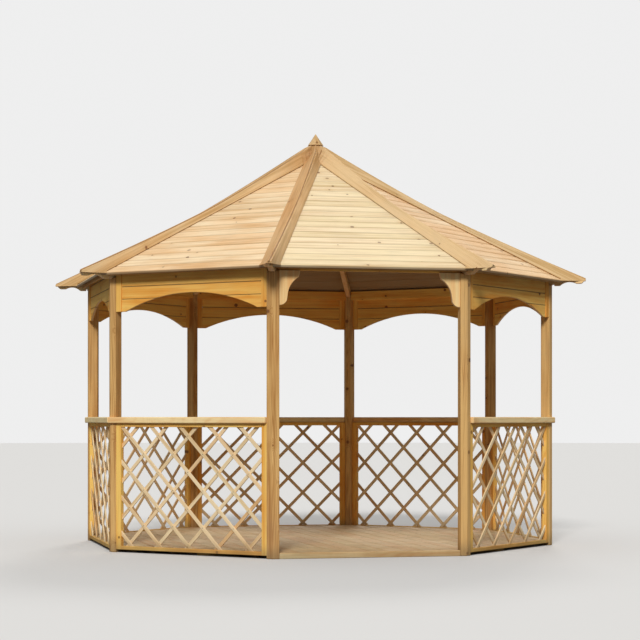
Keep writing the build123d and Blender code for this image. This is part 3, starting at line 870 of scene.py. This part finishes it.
class GAZEBO_OT_posts(Operator):
    """Builds the eight corner posts with rounded edges"""

    bl_idname = "gazebo.posts"
    bl_label = "Posts"

    def execute(self, context):
        plan = Plan(context.scene)
        f = plan.frame
        flat = f.arris_flat / 2.0
        face_x = f.post_face * COS_HALF
        face_y = -f.post_circle_radius + f.post_face * SIN_HALF
        back_x = face_x - f.post_depth * SIN_HALF
        back_y = face_y + f.post_depth * COS_HALF
        flat_y = -f.post_circle_radius + flat * TAN_HALF
        outline = [(-flat, flat_y), (flat, flat_y), (face_x, face_y)]
        outline += [(back_x, back_y), (-back_x, back_y), (-face_x, face_y)]
        head = plan.hip_height(f.post_circle_radius) - f.rafter_depth
        for corner, name in enumerate(CORNERS):
            piece = Joinery("post_timber_" + name, warmth=0.48, spread=0.12)
            mesh = prism(outline, head, f.post_rounding, 3)
            for vert in mesh.verts:
                if vert.co.z > 0.0:
                    slope_rise = plan.hip_height(-vert.co.y) - plan.hip_height(f.post_circle_radius)
                    vert.co.z += slope_rise
            place = corner_turn(corner) @ Matrix.Translation((0, 0, head / 2.0))
            piece.add(mesh, place, ALONG_Z)
            piece.build(["post_" + name], ["Post timber"])
        return {"FINISHED"}


class GAZEBO_OT_rafters(Operator):
    """Builds the hip rafters with their shaped tails"""

    bl_idname = "gazebo.rafters"
    bl_label = "Hip rafters"

    def execute(self, context):
        plan = Plan(context.scene)
        f = plan.frame
        post = f.post_circle_radius
        foot = post + f.tail_gap
        start = plan.eave_reach / COS_HALF - f.notch_length
        tip = plan.cap_tip - f.tip_setback
        drop = plan.roof.eave_height - f.drop_depth
        nose = drop + f.nose_rise
        end_top = plan.roof.eave_height + plan.roof.cap_end_lift - 2.0 * FIT_GAP
        crest = plan.roof.eave_height + f.crest_rise
        outline = [(f.rafter_head, plan.hip_height(f.rafter_head) - f.rafter_depth)]
        outline += [(post, plan.hip_height(post) - f.rafter_depth), (post, f.plate_bottom)]
        outline += [(foot, f.plate_bottom), (foot, drop)]
        arch = (f.arch_radius, drop + f.tail_arch_rise)
        outline += arc_points((f.drop_radius, drop), arch, (f.nose_radius, nose), TAIL_STEPS)
        outline += [(tip - f.tail_lip, nose), (tip, end_top)]
        outline += [(f.crest_radius + f.shoulder, end_top), (f.crest_radius, crest), (start, crest)]
        side_fall = plan.roof.rise / plan.eave_reach * SIN_HALF * f.rafter_thickness / 2.0
        outline.append((start, plan.hip_height(start) - side_fall - FIT_GAP))
        outline.append((f.rafter_head, plan.hip_height(f.rafter_head) - side_fall - FIT_GAP))
        piece = Joinery("hip_rafter_timbers", warmth=0.6)
        side = Matrix(((0, 0, -1, 0), (-1, 0, 0, 0), (0, 1, 0, 0), (0, 0, 0, 1)))
        for corner in range(BAY_COUNT):
            rafter = prism(outline, f.rafter_thickness, RAFTER_ROUNDING, 1)
            piece.add(rafter, corner_turn(corner) @ side, sawn=True)
        piece.build(["hip_rafters"], ["Rail timber", "Sawn edges"])
        return {"FINISHED"}


class GAZEBO_OT_roof_boards(Operator):
    """Covers the eight sides of the roof with level boards"""

    bl_idname = "gazebo.roof_boards"
    bl_label = "Roof boards"

    def execute(self, context):
        plan = Plan(context.scene)
        r = plan.roof
        slope_length = math.hypot(plan.eave_reach, r.rise)
        down = Vector((0, -plan.eave_reach, -r.rise)) / slope_length
        normal = Vector((1, 0, 0)).cross(-down)
        eave = Vector((0, -plan.eave_reach, r.eave_height))
        place = Matrix.Identity(4)
        for axis in range(3):
            place[axis][0] = float(axis == 0)
            place[axis][1] = -down[axis]
            place[axis][2] = normal[axis]
            place[axis][3] = eave[axis]
        hip_gap = r.joint_gap / COS_HALF
        shrink = plan.eave_reach / slope_length * TAN_HALF
        eave_half = plan.eave_reach * TAN_HALF - hip_gap
        for bay, name in enumerate(BAYS):
            warmth = ROOF_WARMTH.get(name, OTHER_ROOF_WARMTH)
            piece = Joinery("roof_boards_" + name, warmth, spread=0.09)
            row = 0
            while (row + 1) * r.board_pitch < slope_length - r.cap_start:
                section = self.board_section(r, row * r.board_pitch)
                left = [(-eave_half + shrink * up, up, lift) for up, lift in section]
                right = [(eave_half - shrink * up, up, lift) for up, lift in section]
                turn = Matrix.Rotation(BAY_ANGLE * bay, 4, "Z")
                # Painted shade on the boards' undersides, down to the foot of the eave's edge;
                # grime and painted shade beside the joints
                dark = {
                    index: ROOF_JOINT_GRIME_AND_SHADE if lift > 0.0 else ROOF_UNDERSIDE_SHADE
                    for index, (up, lift) in enumerate(section * 2)
                    if lift < r.board_thickness - FIT_GAP and (up > r.joint_gap or lift == 0.0)
                }
                piece.add(loft([left, right]), turn @ place, grime_and_shade=dark)
                row += 1
            piece.build(["roof_panel_" + name], ["Roof boards"])
        return {"FINISHED"}

    @staticmethod
    def board_section(r, start):
        """Tongued board across the slope, from its lower edge upwards, bevelled at the joints."""
        thickness = r.board_thickness
        shoulder = thickness - 0.4 * r.joint_bevel
        low_edge = start + r.joint_gap / 2.0
        high_edge = start + r.board_pitch - r.joint_gap / 2.0
        groove_low, groove_high = 0.35 * thickness, 0.65 * thickness
        section = [(low_edge, 0.0)]
        if start > 0.0:
            section += [(low_edge, groove_low), (low_edge + r.tongue, groove_low)]
            section += [(low_edge + r.tongue, groove_high), (low_edge, groove_high)]
        section += [(low_edge, shoulder), (low_edge + r.joint_bevel, thickness)]
        section += [(high_edge - r.joint_bevel, thickness), (high_edge, shoulder)]
        tongue_low, tongue_high = groove_low + SEAT_GAP, groove_high - SEAT_GAP
        section += [(high_edge, tongue_high), (high_edge + r.tongue, tongue_high)]
        section += [(high_edge + r.tongue, tongue_low), (high_edge, tongue_low), (high_edge, 0.0)]
        return section


class GAZEBO_OT_hip_boards(Operator):
    """Stands the two shaped boards on each hip, running on past the eave"""

    bl_idname = "gazebo.hip_boards"
    bl_label = "Hip boards"

    def execute(self, context):
        plan = Plan(context.scene)
        r = plan.roof
        slope = r.rise / plan.eave_reach * COS_HALF
        corner_radius = (plan.eave_reach + r.eave_gap - r.cap_foot * SIN_HALF) / COS_HALF
        to_eave, past_eave = corner_radius - r.cap_start, plan.cap_tip - corner_radius
        radii = [r.cap_start + to_eave * step / HIP_STEPS for step in range(HIP_STEPS + 1)]
        for step in range(POINT_STEPS):
            radii.append(corner_radius + HIP_CUT_STEP + past_eave * step / POINT_STEPS)
        radii.append(plan.cap_tip)
        grain = grain_down_hip(slope)
        piece = Joinery("hip_boards")
        for corner in range(BAY_COUNT):
            for left_side in (True, False):
                sections = []
                for radius in radii:
                    section = self.section(plan, radius, left_side, radius > corner_radius)
                    sections.append([(side, -radius, height) for side, height in section])
                board = loft(sections)
                board.verts.index_update()
                count = len(sections[0])
                # Painted shade: a dark line where each board's foot rests on the panel, and across
                # the square-cut heads at the seam, from the ridge's rounding on the lapping board
                dark = {}
                for end in range(count, (len(sections) + 1) * count, count):
                    dark[end - 1] = HIP_FOOT_SHADE
                    dark[end - 3] = HIP_SEAM_SHADE
                    dark[end - 4] = HIP_RIDGE_SHADE * left_side
                piece.add(board, corner_turn(corner), grain, grime_and_shade=dark)
        piece.build(["hip_caps"], ["Hip boards"])
        return {"FINISHED"}

    @staticmethod
    def section(plan, radius, left_side, past_eave):
        """Corners of a board across the hip, from its outer foot over the ridge and back."""
        r = plan.roof
        width = min(1.0, (radius * TAN_HALF - FIT_GAP) / r.cap_foot)
        panel = plan.hip_height(radius) + plan.board_rise
        side_fall = r.rise / plan.eave_reach * SIN_HALF
        ridge_height = min(plan.ridge_height(radius), low("finial").z - SEAT_GAP)
        ridge = Vector((r.cap_ridge * width, ridge_height))
        foot = r.cap_foot * width
        thickness = r.cap_foot_thickness * width
        lift = r.cap_foot_lift * width
        arris = Vector((-foot, panel - side_fall * foot + lift))
        face = (ridge - arris).normalized()
        through = Vector((face.y, -face.x)) * thickness * face.y
        head = [ridge, ridge + through]
        if not left_side:
            arris.x = foot
            top = head[1] + Vector((r.cap_seam, HIP_LAP_RISE)) * width
            face = (top - arris).normalized()
            through = Vector((face.y, -face.x)) * thickness * face.y
            head = [top, top - through + face * 0.35 * thickness]
        side = -1.0 if left_side else 1.0
        end = r.eave_height + r.cap_end_lift
        rests = [arris.copy()]
        for reach in (foot - lift, foot - thickness):
            rests.append(Vector((side * reach, panel - side_fall * reach + SEAT_GAP)))
        if past_eave:
            rests = [Vector((across(arris, head[0], end), end))]
            rests += [Vector((rests[0].x - side * reach, end)) for reach in (lift, thickness)]
        soft = min(r.cap_rounding, 0.3 * thickness)
        drop = (rests[0] - head[0]).normalized() * soft
        turn = (head[1] - head[0]).normalized() * soft
        rounded = [head[0] + drop, head[0] + (drop + turn) * 0.3, head[0] + turn]
        return [tuple(point) for point in (rests[0], *rounded, head[1], rests[2], rests[1])]


class GAZEBO_OT_eave_boards(Operator):
    """Fits the upright battens under the roof's edge"""

    bl_idname = "gazebo.eave_boards"
    bl_label = "Eave boards"

    def execute(self, context):
        plan = Plan(context.scene)
        r = plan.roof
        side_room = plan.frame.rafter_thickness / 2.0 / COS_HALF
        outer_reach = plan.eave_reach - r.batten_setback
        half = (outer_reach - r.batten_thickness) * TAN_HALF - side_room
        top = plan.roof_height(outer_reach) - FIT_GAP
        piece = Joinery("eave_battens")
        inset = r.batten_setback - r.overhang + r.batten_thickness / 2.0
        for bay in range(BAY_COUNT):
            outline = rectangle(-half, half, r.batten_bottom, top)
            batten = prism(outline, r.batten_thickness, EAVE_BATTEN_ROUNDING)
            piece.add(batten, plan.upright(bay, inset))
        # The battens take the darker post wood in place of the roof boards' own, which paints the
        # shade under the eave
        piece.build(["eave_boards"], ["Post timber"])
        return {"FINISHED"}


class GAZEBO_OT_top_plates(Operator):
    """Fits the top plates between the post heads"""

    bl_idname = "gazebo.top_plates"
    bl_label = "Top plates"

    def execute(self, context):
        plan = Plan(context.scene)
        f = plan.frame
        top = plan.roof_height(plan.reach - f.plate_setback) - FIT_GAP
        piece = Joinery("plate_timbers")
        inset = f.plate_setback + f.plate_thickness / 2.0
        for bay in range(BAY_COUNT):
            outline = rectangle(-plan.opening_half, plan.opening_half, f.plate_bottom, top)
            plate = prism(outline, f.plate_thickness, TIMBER_ROUNDING)
            piece.add(plate, plan.upright(bay, inset))
        piece.build(["top_plates"], ["Frame timber"])
        return {"FINISHED"}


class GAZEBO_OT_valances(Operator):
    """Boards the arched valances and fits their end battens"""

    bl_idname = "gazebo.valances"
    bl_label = "Valances"

    def execute(self, context):
        plan = Plan(context.scene)
        p = plan.panels
        half = plan.opening_half
        arch_half = half - p.arch_end
        board_half = half - p.batten_width
        bottom = p.valance_bottom
        crown = bottom + p.arch_rise
        arch = arc_points((-arch_half, bottom), (0.0, crown), (arch_half, bottom), VALANCE_STEPS)
        radius = (arch_half**2 + p.arch_rise**2) / (2.0 * p.arch_rise)
        centre = crown - radius

        def arch_x(height):
            """Half width of the arch at a height."""
            return math.sqrt(max(radius**2 - (height - centre) ** 2, 0.0))

        top = plan.roof_height(plan.reach - p.valance_setback) - VALANCE_TOP_GAP
        board_inset = p.valance_setback + p.valance_thickness / 2.0
        back = p.valance_setback + p.valance_thickness
        batten_thickness = back - p.batten_setback
        batten_inset = p.batten_setback + batten_thickness / 2.0
        batten_top = plan.roof_height(plan.reach - p.batten_setback) - VALANCE_TOP_GAP
        rows = math.ceil((top - bottom) / p.valance_pitch)
        groove = 0.55 * p.valance_rounding
        for bay, name in enumerate(BAYS):
            if bay == ENTRANCE:
                continue
            piece = Joinery("valance_boards_" + name, warmth=0.64)
            for row in range(rows):
                low_edge = bottom + row * p.valance_pitch
                high_edge = min(low_edge + p.valance_pitch - p.valance_gap, top)
                tone = piece.random.random()
                joints = [edge for edge in (low_edge, high_edge) if bottom < edge < top]
                outlines = self.row_outlines(board_half, low_edge, high_edge, arch, arch_x, crown)
                for outline in outlines:
                    board = prism(outline, p.valance_thickness, p.valance_rounding, 3)
                    board.verts.index_update()
                    # Grime and painted shade along the joints between the rows of boards
                    dark = {
                        vert.index: VALANCE_JOINT_GRIME_AND_SHADE
                        for vert in board.verts
                        if any(abs(vert.co.y - edge) < groove for edge in joints)
                    }
                    place = plan.upright(bay, board_inset)
                    piece.add(board, place, sawn=True, tone=tone, grime_and_shade=dark)
            for side in (-1.0, 1.0):
                middle = side * (half - p.batten_width / 2.0)
                left, right = middle - p.batten_width / 2.0, middle + p.batten_width / 2.0
                outline = rectangle(left, right, bottom, batten_top)
                batten = prism(outline, batten_thickness, TIMBER_ROUNDING)
                piece.add(batten, plan.upright(bay, batten_inset), ALONG_Y)
            piece.build(["valance_" + name], ["Frame timber", "Sawn edges"])
        return {"FINISHED"}

    @staticmethod
    def row_outlines(half, low_edge, high_edge, arch, arch_x, crown):
        """Outlines of one row of boards, in one or two parts where the arch cuts it."""
        low_x = arch_x(low_edge)
        inside = [point for point in arch if low_edge < point[1] < high_edge]
        if low_edge >= crown:
            return [rectangle(-half, half, low_edge, high_edge)]
        if high_edge > crown:
            curve = [(-low_x, low_edge)] + inside + [(low_x, low_edge)]
            upper = [(half, low_edge), (half, high_edge), (-half, high_edge)]
            return [[(-half, low_edge)] + curve + upper]
        high_x = arch_x(high_edge)
        left = [point for point in inside if point[0] < 0.0]
        right = [point for point in inside if point[0] > 0.0]
        left_part = [(-half, low_edge), (-low_x, low_edge)] + left
        left_part += [(-high_x, high_edge), (-half, high_edge)]
        right_part = [(half, high_edge), (high_x, high_edge)] + right
        right_part += [(low_x, low_edge), (half, low_edge)]
        return [left_part, right_part]


class GAZEBO_OT_brackets(Operator):
    """Shapes the two brackets in the entrance"""

    bl_idname = "gazebo.brackets"
    bl_label = "Entrance brackets"

    def execute(self, context):
        plan = Plan(context.scene)
        b = plan.brackets
        side_x, _, top = high("entrance_brackets")
        _, outer_face, foot = low("entrance_brackets")
        thickness = high("entrance_brackets").y - outer_face
        nose_x = side_x - b.width
        nose = (nose_x + b.nose_rake, top - b.nose_height)
        hollow = (side_x - b.hollow_width, top - b.hollow_drop)
        waist = (side_x - b.waist_width, top - b.waist_drop)
        belly = (side_x - b.belly_width, top - b.belly_drop)
        toe = (side_x - b.toe_width, top - b.toe_drop)
        outline = [(side_x, foot), (side_x, top), (nose_x, top)]
        outline += arc_points(nose, hollow, waist, HOLLOW_STEPS)
        outline += arc_points(belly, toe, (side_x, foot), BELLY_STEPS)[:-1]
        inset = plan.reach + outer_face + thickness / 2.0
        piece = Joinery("entrance_bracket_boards", warmth=0.5)
        for side in (-1.0, 1.0):
            turned = [(side * x, z) for x, z in outline]
            bracket = prism(turned, thickness, TIMBER_ROUNDING)
            piece.add(bracket, plan.upright(ENTRANCE, inset), ALONG_Y, sawn=True)
        piece.build(["entrance_brackets"], ["Bracket timber", "Sawn edges"])
        return {"FINISHED"}


class GAZEBO_OT_handrails(Operator):
    """Fits the handrails with their mitred laps over the posts"""

    bl_idname = "gazebo.handrails"
    bl_label = "Handrails"

    def execute(self, context):
        plan = Plan(context.scene)
        p = plan.panels
        outer_y = -plan.reach - p.rail_lap
        inner_y = -plan.reach + p.rail_inner
        lap_outer = -outer_y * TAN_HALF - MITRE_GAP
        lap_inner = plan.reach * TAN_HALF - MITRE_GAP
        half = plan.opening_half
        thickness = p.rail_top - p.rail_bottom
        piece = Joinery("handrail_timbers", warmth=0.7, spread=0.1)
        for bay in range(1, BAY_COUNT):
            right = [(half, inner_y), (half, outer_y)]
            left = [(-half, outer_y), (-half, inner_y)]
            if bay < BAY_COUNT - 1:
                right = [(half, inner_y), (half, -plan.reach)]
                right += [(lap_inner, -plan.reach), (lap_outer, outer_y)]
            if bay > 1:
                left = [(-lap_outer, outer_y), (-lap_inner, -plan.reach)]
                left += [(-half, -plan.reach), (-half, inner_y)]
            rail = prism(right + left, thickness, p.rail_rounding, 3)
            piece.add(rail, plan.level(bay, (p.rail_top + p.rail_bottom) / 2.0))
        piece.build(["handrails"], ["Rail timber"])
        return {"FINISHED"}


class GAZEBO_OT_lattices(Operator):
    """Builds the lattice panels of framed sloping laths"""

    bl_idname = "gazebo.lattices"
    bl_label = "Lattice panels"

    def execute(self, context):
        plan = Plan(context.scene)
        p = plan.panels
        half = plan.opening_half
        top = p.rail_bottom
        inner_half = half - p.stile_width
        inner_low = p.lattice_bottom + p.frame_height
        inner_high = top - p.frame_height
        middle_inset = p.lattice_setback + p.frame_thickness / 2.0
        start = -inner_half + p.lath_start_inset
        constants = {-1.0: start + p.lath_start_height, 1.0: start - p.lath_start_height}
        reach = int((2.0 * inner_half + inner_high) / p.lath_pitch) + 2
        inside = (inner_half, inner_low, inner_high)
        nails = Joinery("lattice_nails")
        for bay, name in enumerate(BAYS):
            if bay == ENTRANCE:
                continue
            piece = Joinery("lattice_frame_" + name)
            for left, right, bottom, upper, grain in (
                (-half, -inner_half, p.lattice_bottom, top, ALONG_Y),
                (inner_half, half, p.lattice_bottom, top, ALONG_Y),
                (-inner_half, inner_half, p.lattice_bottom, inner_low, ALONG_X),
                (-inner_half, inner_half, inner_high, top, ALONG_X),
            ):
                outline = rectangle(left, right, bottom, upper)
                timber = prism(outline, p.frame_thickness, TIMBER_ROUNDING)
                piece.add(timber, plan.upright(bay, middle_inset), grain)
            piece.build([], ["Frame timber"])
            laths = Joinery("lattice_laths_" + name, warmth=0.6)
            lines = {-1.0: [], 1.0: []}
            hand = -1.0 if bay < BAY_COUNT // 2 else 1.0
            for slope in lines:
                inset = middle_inset + hand * slope * p.lath_thickness / 2.0
                for step in range(-reach, reach + 1):
                    shifted = hand * constants[hand * slope] + step * p.lath_pitch
                    shifted += laths.random.uniform(-LATH_WANDER, LATH_WANDER)
                    outline = self.lath_outline(shifted, slope, p.lath_width, inside)
                    if not outline:
                        continue
                    lines[slope].append(shifted)
                    board = prism(outline, p.lath_thickness - LATH_GAP, LATH_ROUNDING, 1)
                    laths.add(board, plan.upright(bay, inset), grain_at(slope * math.pi / 4.0))
            laths.build(["lattice_" + name], ["Lattice laths"])
            self.add_nails(nails, plan, bay, lines, inside, middle_inset - p.lath_thickness)
        nails.build([], [NAIL_FINISH])
        return {"FINISHED"}

    @staticmethod
    def lath_outline(constant, slope, width, inside):
        """Strip at 45 degrees up to the frame's rebates, or nothing where it is too short."""
        half, bottom, top = inside
        reach = width / 2.0 * math.sqrt(2.0)
        strip = []
        for x, edge in ((-FAR, -reach), (FAR, -reach), (FAR, reach), (-FAR, reach)):
            strip.append((x, slope * (x - constant) + edge))
        for normal, limit in (
            ((1, 0), half + LATH_REBATE),
            ((-1, 0), half + LATH_REBATE),
            ((0, 1), top + LATH_REBATE),
            ((0, -1), -bottom + LATH_REBATE),
        ):
            strip = clipped(strip, normal, limit)
            if len(strip) < 3:
                return []
        xs = [point[0] for point in strip]
        return strip if max(xs) - min(xs) > 2.0 * width else []

    @staticmethod
    def add_nails(nails, plan, bay, lines, inside, inset):
        """One small head on each crossing, on the outer laths."""
        p = plan.panels
        half, bottom, top = inside
        for falling in lines[-1.0]:
            for rising in lines[1.0]:
                x = (falling + rising) / 2.0
                z = (falling - rising) / 2.0
                beside = abs(x) > half - p.lath_width
                if beside or not bottom + p.lath_width < z < top - p.lath_width:
                    continue
                head = prism(eight_sided(x, z, p.nail_radius), NAIL_HEIGHT, 0.0)
                nails.add(head, plan.upright(bay, inset))


class GAZEBO_OT_deck(Operator):
    """Lays the deck boards, their screws and the edge board in the entrance"""

    bl_idname = "gazebo.deck"
    bl_label = "Deck"

    def execute(self, context):
        plan = Plan(context.scene)
        d = plan.deck
        p = plan.panels
        reach = plan.reach - p.lattice_setback - p.frame_thickness
        piece = Joinery("deck_planks")
        screws = Joinery("deck_screws")
        pitch = d.board_width + d.board_gap
        middle = Matrix.Translation((0, 0, (d.top + d.bottom) / 2.0))
        sunk = Matrix.Translation((0, 0, d.top - SCREW_SINK))
        bearers = self.bearer_lines()
        side_limit = reach - SCREW_SIDE_MARGIN
        corner_limit = reach * math.sqrt(2.0) - SCREW_CORNER_MARGIN
        for index in range(int(2.0 * reach / pitch) + 1):
            low_x = -reach + index * pitch
            outline = rectangle(low_x, low_x + d.board_width, -FAR, FAR)
            for side in range(BAY_COUNT):
                angle = BAY_ANGLE * side
                outline = clipped(outline, (math.cos(angle), math.sin(angle)), reach)
            piece.add(prism(outline, d.top - d.bottom, d.board_rounding), middle, ALONG_Y)
            for y in bearers:
                for share in SCREW_SHARES:
                    x = low_x + d.board_width * share
                    if abs(x) <= side_limit and abs(x) + abs(y) <= corner_limit:
                        head = prism(eight_sided(x, y, d.screw_radius), SCREW_HEIGHT, 0.0)
                        screws.add(head, sunk)
        piece.build(["deck_boards"], ["Deck boards"])
        screws.build([], [NAIL_FINISH])
        edge = Joinery("threshold_timber", warmth=0.55)
        inset = p.lattice_setback + p.frame_thickness / 2.0
        outline = rectangle(-plan.opening_half, plan.opening_half, 0.0, d.top)
        board = prism(outline, p.frame_thickness, THRESHOLD_ROUNDING, 3)
        edge.add(board, plan.upright(ENTRANCE, inset))
        edge.build(["threshold_board"], ["Rail timber"])
        return {"FINISHED"}

    @staticmethod
    def bearer_lines():
        """Y of the middle of each bearer."""
        spread = high("deck_bearers").y - BEARER_WIDTH / 2.0
        return [spread * share for share in (-1.0, -0.5, 0.0, 0.5, 1.0)]


class GAZEBO_OT_finial(Operator):
    """Shapes the small eight-sided point on the apex and the neck under it"""

    bl_idname = "gazebo.finial"
    bl_label = "Finial"

    def execute(self, context):
        base, tip = low("finial").z, high("finial").z
        radius = high("finial").x / COS_HALF
        neck_radius = context.scene.gazebo_roof.cap_start + NECK_MARGIN
        piece = Joinery("finial_point")
        sections = []
        for share, height in FINIAL_PROFILE:
            ring = eight_sided(0.0, 0.0, radius * share, turn=0.5)
            sections.append([(x, y, (tip - base) * height) for x, y in ring])
        piece.add(loft(sections), Matrix.Translation((0, 0, base)), ALONG_Z)
        foot = high("king_block").z - NECK_MARGIN
        neck = prism(eight_sided(0.0, 0.0, neck_radius, turn=0.5), base - foot, NECK_ROUNDING, 1)
        piece.add(neck, Matrix.Translation((0, 0, (base + foot) / 2.0)), ALONG_Z)
        piece.build(["finial"], ["Hip boards"])
        return {"FINISHED"}


class GAZEBO_OT_hidden_timbers(Operator):
    """Finishes the king block and the bearers, which keep their own shape"""

    bl_idname = "gazebo.hidden_timbers"
    bl_label = "Hidden timbers"

    def execute(self, context):
        for name in ("king_block", "deck_bearers"):
            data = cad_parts[name].data
            data.materials.clear()
            data.materials.append(bpy.data.materials[HIDDEN_FINISH])
        return {"FINISHED"}


class GAZEBO_OT_stage(Operator):
    """Sets the floor, the light and the camera"""

    bl_idname = "gazebo.stage"
    bl_label = "Stage"

    def execute(self, context):
        scene = context.scene
        settings = scene.gazebo_stage
        self.make_floor(scene, settings)
        self.make_light(scene, settings)
        data = bpy.data.cameras.new("Photo camera")
        data.lens = settings.lens
        data.sensor_width = 36.0
        data.shift_y = settings.shift
        data.clip_end = 500.0
        camera = new_object("Photo camera", data)
        camera.location = (settings.camera_x, settings.camera_y, settings.camera_z)
        camera.rotation_euler = (math.pi / 2.0, 0.0, -settings.heading)
        scene.camera = camera
        scene.view_settings.view_transform = "Standard"
        return {"FINISHED"}

    @staticmethod
    def make_floor(scene, settings):
        """Round floor that shows its own colour and gives back less light than that."""
        mesh = bmesh.new()
        bmesh.ops.create_circle(mesh, cap_ends=True, radius=settings.floor_radius, segments=96)
        data = bpy.data.meshes.new("Floor")
        mesh.to_mesh(data)
        mesh.free()
        floor = new_object("Floor", data)
        floor.location.z = -FIT_GAP
        material, s, shader = new_material("Plain floor")
        shown = (*scene.gazebo_colours.floor, 1.0)
        given_back = (settings.bounce, settings.bounce, settings.bounce, 1.0)
        seen = s.node("ShaderNodeLightPath").outputs["Is Camera Ray"]
        s.feed(shader["Base Color"], s.blend(seen, given_back, shown))
        shader["Roughness"].default_value = 0.9
        shader["Specular IOR Level"].default_value = 0.1
        data.materials.append(material)

    @staticmethod
    def make_light(scene, settings):
        """Two soft lamps and an even sky, which the camera sees as a pale backdrop."""
        for name, strength, turn in (
            ("Key light", settings.sun_strength, 0.0),
            ("Back light", settings.back_strength, math.pi),
        ):
            lamp = bpy.data.lights.new(name, "SUN")
            lamp.energy = strength
            lamp.angle = settings.sun_size
            light = new_object(name, lamp)
            tilt = math.pi / 2.0 - settings.sun_height
            light.rotation_euler = (tilt, 0.0, turn - settings.sun_heading)
        world = bpy.data.worlds.new("Even light")
        world.use_nodes = True
        s = ShaderTree(world.node_tree)
        sky = world.node_tree.nodes["Background"]
        height = s.split(s.node("ShaderNodeTexCoord").outputs["Generated"])[2]
        sky.inputs["Color"].default_value = WHITE
        strength = s.ramp(height, 0.0, 0.9, settings.rim_strength, settings.sky_strength)
        s.feed(sky.inputs["Strength"], strength)
        backdrop = s.node("ShaderNodeBackground")
        backdrop.inputs["Color"].default_value = BACKDROP
        seen = s.node("ShaderNodeLightPath").outputs["Is Camera Ray"]
        mixed = s.fed("ShaderNodeMixShader", (seen, sky.outputs[0], backdrop.outputs[0]))
        s.feed(world.node_tree.nodes["World Output"].inputs["Surface"], mixed[0])
        scene.world = world


STEPS = [
    GAZEBO_OT_finishes,
    GAZEBO_OT_posts,
    GAZEBO_OT_rafters,
    GAZEBO_OT_roof_boards,
    GAZEBO_OT_hip_boards,
    GAZEBO_OT_eave_boards,
    GAZEBO_OT_top_plates,
    GAZEBO_OT_valances,
    GAZEBO_OT_brackets,
    GAZEBO_OT_handrails,
    GAZEBO_OT_lattices,
    GAZEBO_OT_deck,
    GAZEBO_OT_finial,
    GAZEBO_OT_hidden_timbers,
    GAZEBO_OT_stage,
]


class GAZEBO_PT_sidebar(Panel):
    """Lists the settings and the steps"""

    bl_idname = "GAZEBO_PT_sidebar"
    bl_label = "Garden gazebo"
    bl_space_type = "VIEW_3D"
    bl_region_type = "UI"
    bl_category = "Gazebo"

    def draw(self, context):
        for step in STEPS:
            self.layout.operator(step.bl_idname)
        for attribute, group in SETTING_GROUPS.items():
            box = self.layout.box()
            settings = getattr(context.scene, attribute)
            for name in group.__annotations__:
                box.prop(settings, name)


def register():
    for attribute, group in SETTING_GROUPS.items():
        bpy.utils.register_class(group)
        setattr(bpy.types.Scene, attribute, PointerProperty(type=group))
    for step in STEPS:
        bpy.utils.register_class(step)
    bpy.utils.register_class(GAZEBO_PT_sidebar)


def unregister():
    bpy.utils.unregister_class(GAZEBO_PT_sidebar)
    for step in reversed(STEPS):
        bpy.utils.unregister_class(step)
    for attribute, group in SETTING_GROUPS.items():
        delattr(bpy.types.Scene, attribute)
        bpy.utils.unregister_class(group)


def main():
    register()
    for step in STEPS:
        family, name = step.bl_idname.split(".")
        getattr(getattr(bpy.ops, family), name)()


if __name__ == "__main__":
    main()
